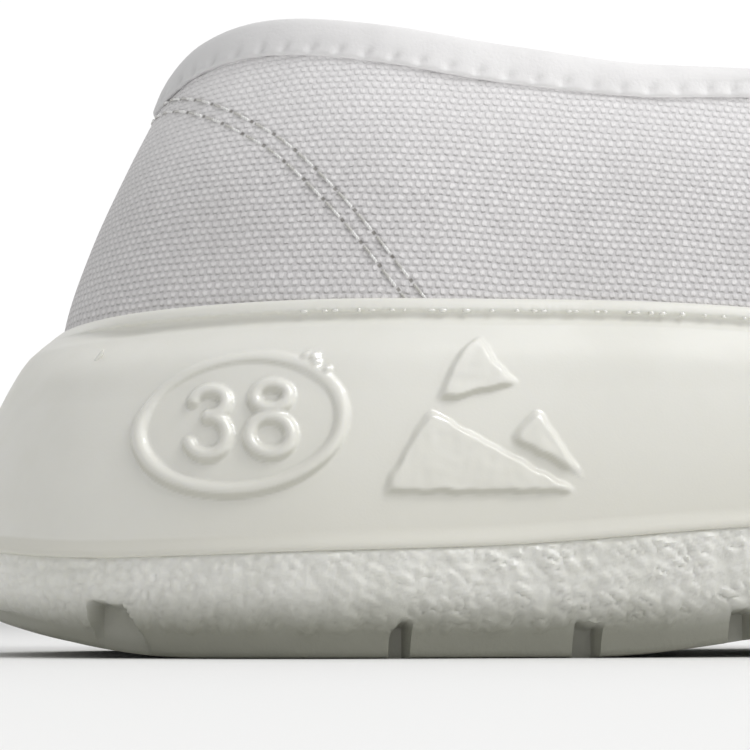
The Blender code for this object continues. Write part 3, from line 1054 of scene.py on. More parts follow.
@dataclass(frozen=True)
class ClothFinish:
    """Plain cloth in a fine weave, as on the lining and the insole."""

    name: str
    yarn: Colour
    gap: Colour
    pitch: Pair
    smudge_share: float
    relief: float
    roughness: float = 0.95
    specular: float = 0.2
    wander: float = 0.4
    depth_span: Pair = (0.02, 0.6)

    def material(self, effects: Effects) -> Material:
        """Build the material.

        Args:
            effects: Shared node groups.

        Returns:
            The material.
        """
        material, graph, shader = new_finish(self.name, self.roughness, self.specular)
        height = effects.woven(graph, self.pitch, self.wander)["Height"]
        smudge = effects.soiled(graph)["Smudge"]
        # Painted shade: the cloth darkens towards the gap colour where the weave lies low.
        cloth = graph.tint(graph.ramp(height, *self.depth_span), self.gap, self.yarn)
        cloth = graph.tint(graph.times(smudge, self.smudge_share), cloth, self.gap)
        graph.fill(shader, Base_Color=cloth, Normal=graph.bump(height, self.relief))
        return material


@dataclass(frozen=True)
class TapeFinish:
    """Smooth coated tape, faintly mottled."""

    white: Colour = (0.91, 0.90, 0.90, 1.0)
    shade: Colour = (0.80, 0.79, 0.79, 1.0)
    # Colour of the painted shade at the back of the heel.
    grey: Colour = (0.64, 0.64, 0.645, 1.0)
    speck: Colour = (0.25, 0.24, 0.22, 1.0)
    roughness: float = 0.55
    specular: float = 0.35
    grain_scales: Pair = (2600.0, 180.0)
    mottle_span: Pair = (0.4, 0.75)
    mottle: float = 0.5
    heel_fade: Pair = (-0.114, -0.086)
    heel_shade: float = 0.75
    speck_cells: Pair = (110.0, 0.012)
    speck_share: float = 0.4
    relief: float = 0.00004

    def material(self, effects: Effects) -> Material:
        """Build the material.

        Args:
            effects: Shared node groups.

        Returns:
            The material.
        """
        material, graph, shader = new_finish("collar_tape", self.roughness, self.specular)
        grain, soil = effects.grained(graph, self.grain_scales), effects.soiled(graph, self.speck_cells)
        mottled = graph.ramp(grain["Broad"], *self.mottle_span, 0.0, self.mottle)
        skin = graph.tint(mottled, self.white, self.shade)
        # Painted shade: the tape greys towards the back of the heel.
        heel_shaded = graph.ramp(graph.split(graph.place())[0], *self.heel_fade, self.heel_shade, 0.0)
        skin = graph.tint(heel_shaded, skin, self.grey)
        skin = graph.tint(graph.times(soil["Speck"], self.speck_share), skin, self.speck)
        graph.fill(shader, Base_Color=skin, Normal=graph.bump(grain["Fine"], self.relief))
        return material


@dataclass(frozen=True)
class ThreadFinish:
    """Fine glossy sewing thread, with a painted highlight where each stitch lies flat and on the crown of
    each ply, and painted shade where it dives.
    """

    lit: Colour = (0.97, 0.97, 0.96, 1.0)
    dim: Colour = (0.64, 0.63, 0.60, 1.0)
    roughness: float = 0.22
    specular: float = 0.6
    twist: float = 0.36
    flat_from: Pair = (0.50, 0.64)
    flat_to: Pair = (0.90, 1.0)
    dive: float = 0.25
    ply_edge: float = 0.7
    ply_light: Pair = (0.3, 0.7)
    relief: float = 0.00005

    def material(self, stitch: float) -> Material:
        """Build the material on the thread's own map: length run and turn round it.

        Args:
            stitch: Stitch length in millimetres.

        Returns:
            The material.
        """
        material, graph, shader = new_finish("sewing_thread", self.roughness, self.specular)
        run, turn, _ = graph.split(graph.lay())
        phase = graph.math("FRACT", graph.math("DIVIDE", run, stitch))
        dived = graph.ramp(phase, *self.flat_to, 1.0, self.dive)
        flat = graph.times(graph.ramp(phase, *self.flat_from), dived)
        turns = graph.math("ADD", graph.math("DIVIDE", run, self.twist), turn)
        wave = graph.math("ABSOLUTE", graph.math("MULTIPLY_ADD", graph.math("FRACT", turns), 2.0, -1.0))
        ply = graph.ramp(wave, 0.0, self.ply_edge)
        # Painted highlight: the lit colour on the flat part of each stitch and on the ply crowns; the dim
        # colour between is painted shade.
        light = graph.times(flat, graph.math("MULTIPLY_ADD", ply, *self.ply_light))
        colour = graph.tint(light, self.dim, self.lit)
        graph.fill(shader, Base_Color=colour, Normal=graph.bump(ply, self.relief))
        return material


@dataclass(frozen=True)
class MouldedFinish:
    """Off-white moulded sole, satin on the wall and frosty on the band, with painted shade towards the
    ground, in the grooves and under the raised marks.
    """

    name: str
    skin: Colour
    # Colour of the painted shade towards the ground and in recesses.
    smudge: Colour
    foot: Colour
    roughness: float
    grain_scales: Pair
    fine_relief: float
    broad_relief: float
    specular: float = 0.5
    translucent: float = 0.10
    # Colour of the painted shade under the raised marks.
    painted_shade: Colour = (0.46, 0.455, 0.39, 1.0)
    speck: Colour = (0.16, 0.15, 0.12, 1.0)
    smudge_share: float = 0.4
    smudge_rough: Pair = (-0.05, 0.08)
    speck_cells: Pair = (85.0, 0.014)
    speck_share: float = 0.6
    coat_roughness: float = 0.06
    coat_index: float = 2.2
    bleed: Triple = (1.0, 0.95, 0.7)
    bleed_scale: float = 0.0005

    def material(self, effects: Effects) -> Material:
        """Build the material.

        Args:
            effects: Shared node groups.

        Returns:
            The material.
        """
        material, graph, shader = new_finish(self.name, self.roughness, self.specular)
        grain, soil = effects.grained(graph, self.grain_scales), effects.soiled(graph, self.speck_cells)
        skin = graph.tint(graph.times(soil["Smudge"], self.smudge_share), self.skin, self.smudge)
        # Painted shade: darker towards the foot colour low on the sole and in its recesses, and darker still
        # under the raised marks.
        skin = graph.tint(graph.field("low"), skin, self.foot)
        skin = graph.tint(graph.field("painted_shade"), skin, self.painted_shade)
        skin = graph.tint(graph.times(soil["Speck"], self.speck_share), skin, self.speck)
        rough = graph.ramp(soil["Smudge"], 0.0, 1.0, *(self.roughness + part for part in self.smudge_rough))
        waves = graph.bump(grain["Broad"], self.broad_relief)
        normal = graph.bump(grain["Fine"], self.fine_relief, waves)
        graph.fill(shader, Base_Color=skin, Roughness=rough, Normal=normal)
        graph.fill(shader, Coat_Weight=graph.field("shine"), Coat_Roughness=self.coat_roughness)
        graph.fill(shader, Coat_IOR=self.coat_index, Subsurface_Weight=self.translucent)
        graph.fill(shader, Subsurface_Radius=self.bleed, Subsurface_Scale=self.bleed_scale)
        return material


@dataclass(frozen=True)
class StitchSeam:
    """Double row of stitches that holds the heel stiffener, round the heel from lip to lip."""

    row_gap: float = 0.90
    stitch: float = 3.45
    shown: float = 0.84
    thread_radius: float = 0.165
    stand: float = 0.07
    dip: float = 0.45
    rise: float = 0.22
    sample: float = 0.12
    facets: int = 8
    samples: int = 2401
    every: int = 4
    block: int = 2000
    far: float = 9.0
    line: Table = Table(
        ("round", "height"),
        (
            (0.000, 66.4), (0.060, 65.8), (0.106, 64.1), (0.149, 61.1), (0.185, 57.0),
            (0.212, 51.8), (0.230, 47.2), (0.246, 42.2), (0.262, 36.8),
        ),
    )

    def path(self) -> tuple[Array, Array, Array, Array, Array]:
        """Middle line of the seam on the canvas.

        Returns:
            Points, directions along, outward and above, and the length run from the outer end.
        """
        ends = self.line.column("round")[-1]
        sigma = np.linspace(-ends, ends, self.samples)
        s = np.abs(sigma)
        theta = LAST.angle_at(s, self.line.curve("round", "height", s))
        points, out = LAST.point(sigma, theta), LAST.normal(sigma, theta)
        along = unit(np.gradient(points, axis=0))
        above = np.cross(along, out)
        above *= np.sign(above[:, 2:3] + HAIR)
        return points, along, out, above, run_length(points, 0)

    def fields(self, points: Array) -> tuple[Array, Array]:
        """Distance across the seam and length along it, at points of the canvas.

        Args:
            points: Points of the canvas face.

        Returns:
            Signed distance from the seam's middle, positive above it, and the length run along it.
        """
        line, along, _, above, length = self.path()
        flat = points.reshape(-1, 3)
        across, place = np.zeros(len(flat)), np.zeros(len(flat))
        for start in range(0, len(flat), self.block):
            part = slice(start, start + self.block)
            gap = np.linalg.norm(flat[part, None, :] - line[None, ::self.every, :], axis=2)
            nearest = np.argmin(gap, axis=1) * self.every
            offset = flat[part] - line[nearest]
            sign = np.where(np.sum(offset * above[nearest], axis=1) < 0.0, -1.0, 1.0)
            across[part] = sign * np.minimum(gap.min(axis=1), self.far)
            place[part] = length[nearest] + np.sum(offset * along[nearest], axis=1)
        return across.reshape(points.shape[:-1]), place.reshape(points.shape[:-1])

    def build(self, finish: Material) -> None:
        """Model both rows of thread and put them on the canvas.

        Args:
            finish: Thread material.
        """
        line, _, out, above, length = self.path()
        run = np.arange(0.0, length[-1], self.sample)
        middle, out, above = (read_at(run, length, part) for part in (line, out, above))
        phase = np.abs(np.mod(run / self.stitch, 1.0) - 0.5) * 2.0
        up = smooth_step(1.0 - self.shown, 1.0 - self.shown + self.rise, phase)
        girth = np.where((run == run[0]) | (run == run[-1]), 0.0, self.thread_radius)
        height = -self.dip + (self.dip + self.stand) * up
        turn = np.linspace(0.0, FULL_TURN, self.facets + 1)
        ring = np.cos(turn)[:, None, None] * above + np.sin(turn)[:, None, None] * out
        lay = np.stack(np.meshgrid(run, turn / FULL_TURN), axis=-1)
        rows = []
        for offset in (self.row_gap, -self.row_gap):
            core = middle + offset * above + height[:, None] * out
            tube = Bench.grid("stitch_row", core[None] + girth[:, None] * ring)
            Bench.add_uv(tube, lay)
            rows.append(tube)
        seam = Bench.join(rows)
        seam.name = "stitch_rows"
        Bench.close(seam)
        seam.data.materials.append(finish)
        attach(seam, "root")
        LOG.info("%s: %d faces", seam.name, len(seam.data.polygons))


@dataclass(frozen=True)
class CanvasUpper:
    """Hollow canvas upper, open at the collar and underneath."""

    wall: float = 1.8
    hidden_rows: int = 5
    shown_rows: int = 46
    tuck: float = 0.94
    undulation: float = 0.22
    swells: Table = layers((1.0, 16.0, 3.0), (0.5, 7.0, 9.0))
    toe_ease: float = 0.06
    lip_ease: float = 6.0
    collar_ease: float = 5.0
    heel_ease: float = 4.0
    crest_within: float = 1e-6
    samples: int = 2001
    outer_pitch: Table = Table(("run", "pitch"), ((0.0, 0.9), (120.0, 0.9), (160.0, 2.2), (400.0, 2.2)))
    inner_pitch: Table = Table(
        ("run", "pitch"),
        ((0.0, 0.9), (30.0, 1.4), (120.0, 1.8), (160.0, 2.2), (400.0, 2.2)),
    )
    vamp_pitch: Table = Table(("run", "pitch"), ((0.0, 2.2), (400.0, 2.2)))
    level_station: float = 0.27

    def columns(self, side: Side) -> tuple[Array, int]:
        """Parameters from heel to toe, the same on both sides forward of the throat.

        Args:
            side: Side of the foot.

        Returns:
            The parameters and the number of the one at the throat.
        """
        throat = LAST.throat_at()
        behind = (0.0, throat, side, self.outer_pitch if side is Side.OUTER else self.inner_pitch)
        parts = []
        for start, end, measured, pitch in (behind, (throat, 1.0, Side.OUTER, self.vamp_pitch)):
            u = np.linspace(start, end, self.samples)
            height = np.minimum(LAST.lip(u), LAST.footbed(u) + LAST.crest(u))
            ring = LAST.point(measured.value * u, LAST.angle_at(u, height))
            parts.append(spaced(run_length(ring, 0), u, pitch))
        return np.concatenate([parts[0], parts[1][1:]]), len(parts[0]) - 1

    def weave_map(self, points: Array, s: Array, throat: int, rows: float) -> Array:
        """Map of the cloth, its halves meeting on the crest and at the heel.

        Args:
            points: Rows of points of one half.
            s: Parameters of its columns.
            throat: Number of the column at the throat.
            rows: Pitch of the weft rows in millimetres.

        Returns:
            Length across and along the cloth at each point.
        """
        across, along = run_length(points, 1), run_length(points, 0)
        level = int(np.argmin(np.abs(station_of(s) - self.level_station)))
        shift = across[-1, throat] - across[-1, level]
        top = np.where(np.arange(len(s)) > throat, along[-1], along[-1, throat])
        odd = along[-1, throat] - 2.0 * rows * round(along[-1, throat] / (2.0 * rows))
        drift = odd * np.clip(1.0 - s / s[throat], 0.0, 1.0)
        level_across = across - across[:, level:level + 1] - shift
        return np.stack([level_across, along - top + drift + rows / 2.0], axis=-1)

    def half(self, side: Side, seam: StitchSeam, rows: float) -> Object:
        """One side of the upper as a sheet with its weave map.

        Args:
            side: Side of the foot.
            seam: Stitch seam that furrows the canvas.
            rows: Pitch of the weft rows in millimetres.

        Returns:
            The sheet.
        """
        s, throat = self.columns(side)
        low = self.tuck * LAST.angle_at(s, LAST.lip(s))
        high = np.maximum(LAST.collar_angle(s), low)
        down = np.linspace(0.0, 1.0, self.hidden_rows + 1)[:-1, None] * low[None]
        up = low[None] + np.linspace(0.0, 1.0, self.shown_rows + 1)[:, None] * (high - low)[None]
        theta = np.concatenate([down, up])
        sigma = np.broadcast_to(side.value * s, theta.shape)
        points = LAST.point(sigma, theta)
        ease = smooth_step(0.0, self.toe_ease, 1.0 - s)[None]
        ease = ease * smooth_step(0.0, self.lip_ease, points[..., 2] - LAST.lip(s)[None])
        ease = ease * smooth_step(0.0, self.collar_ease, np.flip(run_length(np.flip(points, 0), 0), 0))
        crest = (s >= LAST.throat_at() - HAIR)[None] & (theta > RIGHT_ANGLE - self.crest_within)
        ease = np.where(crest, 0.0, ease) * smooth_step(0.0, self.heel_ease, run_length(points, 1))
        swell = layered_noise(points, self.swells)
        points = points + (self.undulation * ease * swell)[..., None] * LAST.normal(sigma, theta)
        sheet = Bench.grid("canvas_upper", points)
        Bench.add_uv(sheet, self.weave_map(points, s, throat, rows))
        seam_across, seam_along = seam.fields(points)
        Bench.add_field(sheet, "seam_across", seam_across)
        Bench.add_field(sheet, "seam_along", seam_along)
        return sheet

    def build(self, seam: StitchSeam, canvas: CanvasFinish, lining: ClothFinish, effects: Effects) -> None:
        """Model the upper and dress it.

        Args:
            seam: Stitch seam that furrows the canvas.
            canvas: Finish outside.
            lining: Finish inside.
            effects: Shared node groups.
        """
        upper = Bench.join([self.half(side, seam, canvas.row_pitch) for side in Side])
        Bench.close(upper)
        upper.data.materials.append(canvas.material(effects, seam.row_gap, seam.stitch))
        upper.data.materials.append(lining.material(effects))
        Bench.wall(upper, self.wall)
        Bench.fit(upper, "upper")


@dataclass(frozen=True)
class CollarTape:
    """Tape folded over the collar edge and sewn through."""

    columns: int = 900
    pucker_pitch: float = 3.3
    pucker_depth: float = 0.44
    pucker_slant: float = 0.55
    pucker_half: float = 0.50
    pucker_drift: Table = layers((0.22, 9.0, 5.0))
    sew_line: float = 0.72
    sew_reach: float = 0.62
    edge_wave: Table = layers((0.05, 6.0, 2.0))
    fold_middle: float = -0.9
    legs: Table = Table(
        ("station", "leg"),
        ((0.0, 4.5), (0.10, 4.4), (0.21, 4.3), (0.27, 3.7), (0.32, 3.2), (0.40, 3.0), (0.555, 3.0)),
    )
    profile: Table = Table(
        ("out", "leg", "drop"),
        (
            (-0.05, 1.0, -0.02), (0.26, 1.0, 0.04), (0.48, 1.0, -0.03), (0.62, 1.0, -0.20),
            (0.68, 1.0, -0.45), (0.72, 1.0, -0.75), (0.75, 1.0, -1.05), (0.79, 1.0, -1.40),
            (0.84, 1.0, -1.85), (0.90, 0.40, 0.0), (0.89, 0.15, 0.0), (0.80, 0.0, -0.10),
            (0.58, 0.0, -0.48), (0.20, 0.0, -0.76), (-0.35, 0.0, -0.88), (-1.45, 0.0, -0.88),
            (-2.00, 0.0, -0.76), (-2.38, 0.0, -0.48), (-2.60, 0.0, -0.10), (-2.68, 0.20, 0.0),
            (-2.66, 0.60, 0.0), (-2.60, 1.0, -0.30), (-2.40, 1.0, 0.0), (-1.90, 1.0, -0.02),
            (-1.86, 0.0, -0.20), (0.06, 0.0, -0.20),
        ),
    )

    def build(self, finish: Material) -> None:
        """Model the tape and dress it.

        Args:
            finish: Tape material.
        """
        throat = LAST.throat_at()
        half = throat * np.sin(np.linspace(0.0, RIGHT_ANGLE, self.columns // 2 + 1))
        s = np.concatenate([half, half[-2:0:-1]])
        sigma = np.concatenate([half, -half[-2:0:-1]])
        theta = LAST.collar_angle(s)
        edge = LAST.point(sigma, theta)
        run = unit(np.roll(edge, -1, axis=0) - np.roll(edge, 1, axis=0))
        length = run_length(edge, 0)
        leg = self.legs.curve("station", "leg", station_of(s))
        count = round(length[-1] / self.pucker_pitch)
        drift, wave = layered_noise(edge, self.pucker_drift), layered_noise(edge, self.edge_wave)
        rings = []
        for out, share, drop in self.profile.rows:
            below = share * leg + drop + (wave if share == 1.0 else 0.0)
            at_sigma, at_theta = LAST.below_edge(sigma, theta, run, below)
            slide = self.pucker_slant * (leg - below)
            phase = np.mod((length + slide) / length[-1] * count + drift, 1.0) - 0.5
            pull = np.exp(-(phase * self.pucker_pitch / self.pucker_half) ** 2)
            sewn = np.exp(-((leg - below - self.sew_line) / self.sew_reach) ** 2) if share == 1.0 else 0.0
            reach = out - math.copysign(1.0, out - self.fold_middle) * self.pucker_depth * pull * sewn
            rings.append(LAST.shell(at_sigma, at_theta, np.broadcast_to(reach, below.shape)))
        points = np.stack(rings + rings[:1])
        tape = Bench.grid("collar_tape", np.concatenate([points, points[:, :1]], axis=1))
        Bench.close(tape)
        Bench.fit(tape, "collar_binding", finish)


@dataclass(frozen=True)
class WallMarks:
    """Raised marks moulded on the outer wall: a plain number in an oval ring and three plain pads.

    Places are the length run along the middle of the wall from the heel, and the height above the ground.
    """

    digit_height: float = 0.78
    ring_height: float = 0.84
    ring_faint: float = 0.45
    ring_swell: float = 0.20
    ring_bold: Pair = (0.7, -0.5)
    pad_height: float = 0.74
    fleck_height: float = 0.50
    bead_powers: Pair = (2.2, 1.05)
    oval_middle: Pair = (44.26, 24.8)
    oval_radii: Pair = (11.15, 7.3)
    oval_window: Pair = (14.0, 10.0)
    oval_tilt: float = -3.0
    arc_samples: int = 181
    ring_half: float = 0.80
    stroke_half: float = 0.90
    digit_lean: float = -0.235
    digit_level: float = 25.3
    three_at: float = 40.86
    eight_at: float = 47.63
    three_loops: Table = Table(
        ("middle", "wide", "high", "start", "end"),
        ((26.94, 1.88, 1.45, -90.0, 165.0), (23.37, 2.15, 2.10, -160.0, 90.0)),
    )
    eight_loops: Table = Table(
        ("middle", "wide", "high", "start", "end"),
        ((27.58, 1.82, 1.36, 0.0, 360.0), (23.36, 2.25, 1.98, 0.0, 360.0)),
    )
    pad_edge: float = 0.36
    pad_easing: float = 2.2
    pad_grow: float = 0.15
    pad_waver: Table = layers((0.22, 1.7, 6.0))
    pad_pits: Table = layers((0.15, 3.0, 3.0), (0.06, 1.2, 5.0))
    pads: tuple[tuple[Pair, ...], ...] = (
        ((66.75, 34.4), (65.2, 27.4), (73.3, 29.5)),
        ((61.2, 17.5), (64.6, 26.0), (81.2, 17.9)),
        ((74.3, 23.5), (76.5, 26.3), (82.3, 19.5)),
    )
    flecks: Table = Table(
        ("run", "height", "radius"),
        ((49.3, 32.1, 0.80), (50.1, 32.0, 0.75), (50.7, 31.3, 0.65), (52.2, 30.5, 0.60)),
    )
    glints: Table = Table(
        ("run", "height", "reach"),
        ((65.0, 25.6, 1.5), (76.4, 26.0, 1.3), (81.9, 19.7, 0.9), (33.4, 27.0, 1.2), (51.0, 31.4, 2.4)),
    )
    number_inside: float = 0.8
    number_gloss: float = 0.34
    edge_gloss: float = 0.06

    def _bead(self, gap: Array, half: float | Array) -> Array:
        """Round-topped raised bead with soft sides, over the distance from its middle line."""
        fall, easing = self.bead_powers
        return np.maximum(1.0 - (np.minimum(gap, half) / half) ** fall, 0.0) ** easing

    def _arc(
        self, x: Array, y: Array, radii: Pair, span: Pair = (0.0, 360.0)
    ) -> Array:
        """Distance to an arc of an ellipse about the origin.

        Args:
            x: Places across.
            y: Places up.
            radii: Half width and half height.
            span: First and last angle of the arc in degrees, anticlockwise from the right.

        Returns:
            Distance to the nearest point of the arc.
        """
        angle = np.radians(np.linspace(span[0], span[1], self.arc_samples))
        arc_x, arc_y = radii[0] * np.cos(angle), radii[1] * np.sin(angle)
        return np.min(np.hypot(x[..., None] - arc_x, y[..., None] - arc_y), axis=-1)

    def _pad(self, a: Array, z: Array, corners: tuple[Pair, ...]) -> Array:
        """Raised flat pad with soft edges and eased corners over a convex outline.

        Args:
            a: Length run along the wall.
            z: Height above the ground.
            corners: Corners of the outline.

        Returns:
            1 on the pad and 0 off it.
        """
        inside = np.full(a.shape, np.inf)
        sides = list(zip(corners, corners[1:] + corners[:1]))
        turning = sum((c[0] - b[0]) * (c[1] + b[1]) for b, c in sides)
        for (ax, az), (bx, bz) in sides:
            long = math.hypot(bx - ax, bz - az)
            depth = ((a - ax) * (bz - az) - (z - az) * (bx - ax)) / long * math.copysign(1.0, turning)
            inside = -np.logaddexp(-inside * self.pad_easing, -depth * self.pad_easing) / self.pad_easing
        waver = layered_noise(on_plane(a, z), self.pad_waver)
        return smooth_step(-self.pad_edge, self.pad_edge, inside + waver + self.pad_grow)

    def relief(self, a: Array, z: Array) -> Array:
        """Height of the marks over the wall.

        Args:
            a: Length run along the wall.
            z: Height above the ground.

        Returns:
            Raised height in millimetres.
        """
        raised = np.zeros_like(a)
        across, up = np.abs(a - self.oval_middle[0]), np.abs(z - self.oval_middle[1])
        near = (across < self.oval_window[0]) & (up < self.oval_window[1])
        at, up = a[near], z[near]
        c, s = math.cos(math.radians(self.oval_tilt)), math.sin(math.radians(self.oval_tilt))
        x, y = at - self.oval_middle[0], up - self.oval_middle[1]
        rise = c * y - s * x
        ring = self._arc(c * x + s * y, rise, self.oval_radii)
        bold = smooth_step(*self.ring_bold, rise / self.oval_radii[1])
        found = self._bead(ring, self.ring_half * (1.0 + self.ring_swell * bold))
        found = self.ring_height * (self.ring_faint + (1.0 - self.ring_faint) * bold) * found
        upright = at - self.digit_lean * (up - self.digit_level)
        for middle, loops in ((self.three_at, self.three_loops), (self.eight_at, self.eight_loops)):
            for level, wide, high, start, end in loops.rows:
                gap = self._arc(upright - middle, up - level, (wide, high), (start, end))
                found = np.maximum(found, self.digit_height * self._bead(gap, self.stroke_half))
        for run, height, radius in self.flecks.rows:
            gap = np.hypot(at - run, up - height)
            found = np.maximum(found, self.fleck_height * self._bead(gap, radius))
        raised[near] = found
        pits = layered_noise(on_plane(a, z), self.pad_pits)
        for corners in self.pads:
            raised = np.maximum(raised, (self.pad_height + pits) * self._pad(a, z, corners))
        return raised

    def gloss(self, a: Array, z: Array) -> Array:
        """Share of gloss on the edges of the marks: most on the number, in a few glints elsewhere.

        Args:
            a: Length run along the wall.
            z: Height above the ground.

        Returns:
            Share of gloss from 0 to 1.
        """
        wide, high = self.oval_radii
        inside = np.hypot((a - self.oval_middle[0]) / wide, (z - self.oval_middle[1]) / high)
        share = np.where(inside < self.number_inside, self.number_gloss, self.edge_gloss)
        for run, height, reach in self.glints.rows:
            share = np.maximum(share, np.exp(-((a - run) ** 2 + (z - height) ** 2) / reach ** 2))
        return share


@dataclass(frozen=True)
class MouldedSole:
    """One-piece moulded sole: lip, parting groove, wall, ledge, rough band and lugged tread."""

    marks: WallMarks = WallMarks()
    wall_rows: int = 100
    outer_pitch: Table = Table(
        ("run", "pitch"),
        ((0.0, 0.45), (25.0, 0.45), (31.0, 0.20), (92.0, 0.20), (100.0, 0.70), (126.0, 2.2), (400.0, 2.2)),
    )
    inner_pitch: Table = Table(("run", "pitch"), ((0.0, 0.45), (12.0, 0.8), (40.0, 2.2), (400.0, 2.2)))
    hidden_shares: tuple[float, ...] = (0.0, 0.3, 0.6)
    hidden_out: float = -1.0
    sink: float = 0.10
    sink_noise: Pair = (24.0, 4.0)
    sink_rows: float = 3.0
    flash: float = 0.06
    flash_sag: float = 0.9
    flash_squash: float = 0.8
    torn_noise: Pair = (5.0, 3.0)
    torn_span: Pair = (-0.55, 0.10)
    torn_from: Pair = (-20.0, 50.0)
    shred_noise: Table = layers((1.0, 0.48, 2.0), (0.5, 1.6, 8.0))
    shred_span: Pair = (-0.04, 0.24)
    # Painted shade under the raised marks and low on the wall, less near the heel.
    under_span: Pair = (0.04, 0.24)
    under_shade: float = 0.48
    heel_unshaded: Pair = (24.0, 56.0)
    tear: Triple = (22.9, 33.0, 1.25)
    tear_slant: Pair = (-0.66, 0.75)
    tear_half: Pair = (0.32, 0.25)
    bead_row: int = 10
    bead_seed: int = 38
    bead_drop: float = 0.10
    bead_from: float = 36.0
    bead_gap: Pair = (0.5, 2.6)
    bead_half: Pair = (0.20, 0.52)
    bead_high: Pair = (0.17, 0.28)
    bead_facets: tuple[int, int] = (10, 6)
    bead_shine: float = 1.0
    satin: float = 0.03
    edge_span: Pair = (0.01, 0.09)
    top_span: Pair = (0.1, 0.4)
    top_shine: float = 0.2
    frost: float = 0.07
    frost_below: float = 0.5
    lip_profile: Table = Table(
        ("out", "drop"),
        (
            (-1.00, 5.00), (-0.60, 1.20), (-0.10, 0.10), (0.30, -0.02), (0.75, 0.03), (1.10, 0.16),
            (1.36, 0.42), (1.52, 0.80), (1.60, 1.10), (1.64, 1.30), (1.56, 1.42), (1.30, 1.50),
            (1.08, 1.60), (1.02, 1.82), (1.08, 2.10), (1.24, 2.38), (1.52, 2.66), (1.90, 2.92),
            (2.30, 3.16),
        ),
    )
    flash_rows: tuple[int, int] = (8, 12)
    heel_merge: Pair = (20.5, 11.5)
    heel_run: float = 0.28
    heel_lip: Table = Table(
        ("drop", "out"),
        (
            (-0.02, 0.30), (0.16, 0.62), (0.42, 0.95), (0.80, 1.42), (1.30, 1.98), (1.82, 2.62),
            (2.38, 3.24), (3.16, 4.05),
        ),
    )
    heel_wall: Table = Table(
        ("height", "inward"),
        ((0.0, 0.0), (0.35, 0.23), (0.70, 0.56), (0.85, 0.75), (0.96, 0.92), (1.0, 1.0)),
    )
    wall_profile: Table = Table(
        ("height", "inward"),
        ((0.0, 0.0), (0.35, 0.15), (0.65, 0.36), (0.86, 0.60), (1.0, 1.0)),
    )
    ledge_foot: float = 1.70
    ledge_profile: Table = Table(
        ("out", "height"),
        (
            (0.06, 1.35), (0.17, 1.00), (0.30, 0.68), (0.40, 0.40), (0.45, 0.15), (0.43, -0.06),
            (0.32, -0.22), (0.10, -0.32), (-0.60, -0.36), (-3.00, -0.30),
        ),
    )
    band_rows: int = 46
    band_pitch: Table = Table(("along", "pitch"), ((0.0, 0.32), (95.0, 0.32), (115.0, 1.1), (262.0, 1.1)))
    band_profile: Table = Table(
        ("turn", "out", "share"),
        (
            (0.00, -3.00, 1.005), (0.09, -0.45, 0.998), (0.14, 0.10, 0.955), (0.24, 0.26, 0.84),
            (0.38, 0.20, 0.68), (0.53, -0.12, 0.50), (0.67, -0.62, 0.35), (0.75, -1.15, 0.270),
            (0.82, -1.78, 0.220), (0.88, -2.32, 0.135), (0.94, -2.85, 0.02), (1.00, -4.50, 0.0),
        ),
    )
    # Painted shade over the band forward of its heel end.
    band_shade: float = 0.13
    band_shade_from: Pair = (8.0, 32.0)
    pebble: float = 0.46
    pebble_cell: Pair = (1.25, 8.0)
    flake_cell: Pair = (0.95, 1.0)
    flake_slant: float = -24.0
    flake_stretch: float = 2.5
    flakes_from: Pair = (14.0, 60.0)
    fine_noise: Pair = (0.7, 2.0)
    coarse_noise: Pair = (3.0, 4.0)
    frost_mix: tuple[float, ...] = (0.7, 1.1, 0.25, 0.5, 0.50)
    face_top: Pair = (0.99, 0.92)
    face_foot: Pair = (0.19, 0.31)
    lug_top: Pair = (0.24, 0.30)
    lug_wave: float = 0.12
    ragged: float = 0.9
    ragged_noise: Table = layers((0.7, 2.4, 5.0), (0.6, 0.95, 6.0))
    ragged_foot: Pair = (0.18, 0.27)
    ragged_top: Pair = (0.58, 0.33)
    # Painted shade towards the ground, on the lugs, in the creases and in the grooves.
    low_height: Pair = (8.2, 2.2)
    low_share: Pair = (0.29, 0.19)
    low_lugs: float = 0.9
    low_creases: float = 0.3
    crease_depth: float = 0.4
    crease_angle: float = 50.0
    groove_low: float = 0.84
    groove_lift: float = 1.0
    groove_span: Pair = (0.2, 1.2)
    calm_span: Pair = (0.6, 0.1)
    heel_recess: Triple = (13.6, 17.4, 2.4)
    recess_at: Pair = (-3.1, -4.8)
    recess_edge: Pair = (0.0, 0.5)
    recess_margin: float = 1.0
    roof_edge: Pair = (-0.04, 0.04)
    roof_least: float = 0.01
    groove_draft: float = 0.5
    cross_grooves: Table = Table(
        ("along", "width", "depth"),
        (
            (15.5, 3.8, 5.0), (46.0, 2.4, 3.4), (66.5, 3.2, 3.4), (84.0, 3.0, 3.4),
            (104.0, 3.0, 3.4), (124.0, 3.0, 3.4), (144.0, 3.0, 3.4), (163.0, 3.0, 3.4),
            (182.0, 3.0, 3.4), (201.0, 3.0, 3.4), (220.0, 3.0, 3.4), (238.0, 3.2, 3.4),
        ),
    )
    long_groove: Pair = (0.56, 0.68)
    long_draft: float = 0.02
    long_depth: float = 3.4
    tread_rim: float = 0.90
    tread_rib: float = 0.28
    bed_shares: tuple[float, ...] = (0.84, 0.45, 0.0, -0.45, -0.84)
    bed_rise: Pair = (6.0, 30.0)
    bed_gap: float = 0.4

    def wall_ring(self) -> Array:
        """Signed parameters once round the wall, closed on the heel.

        Returns:
            Parameters from the heel along the inner side, round the toe and back.
        """
        inner = SOLE.columns(Side.INNER, self.inner_pitch)
        outer = SOLE.columns(Side.OUTER, self.outer_pitch)
        return np.concatenate([inner, -outer[-2::-1]])

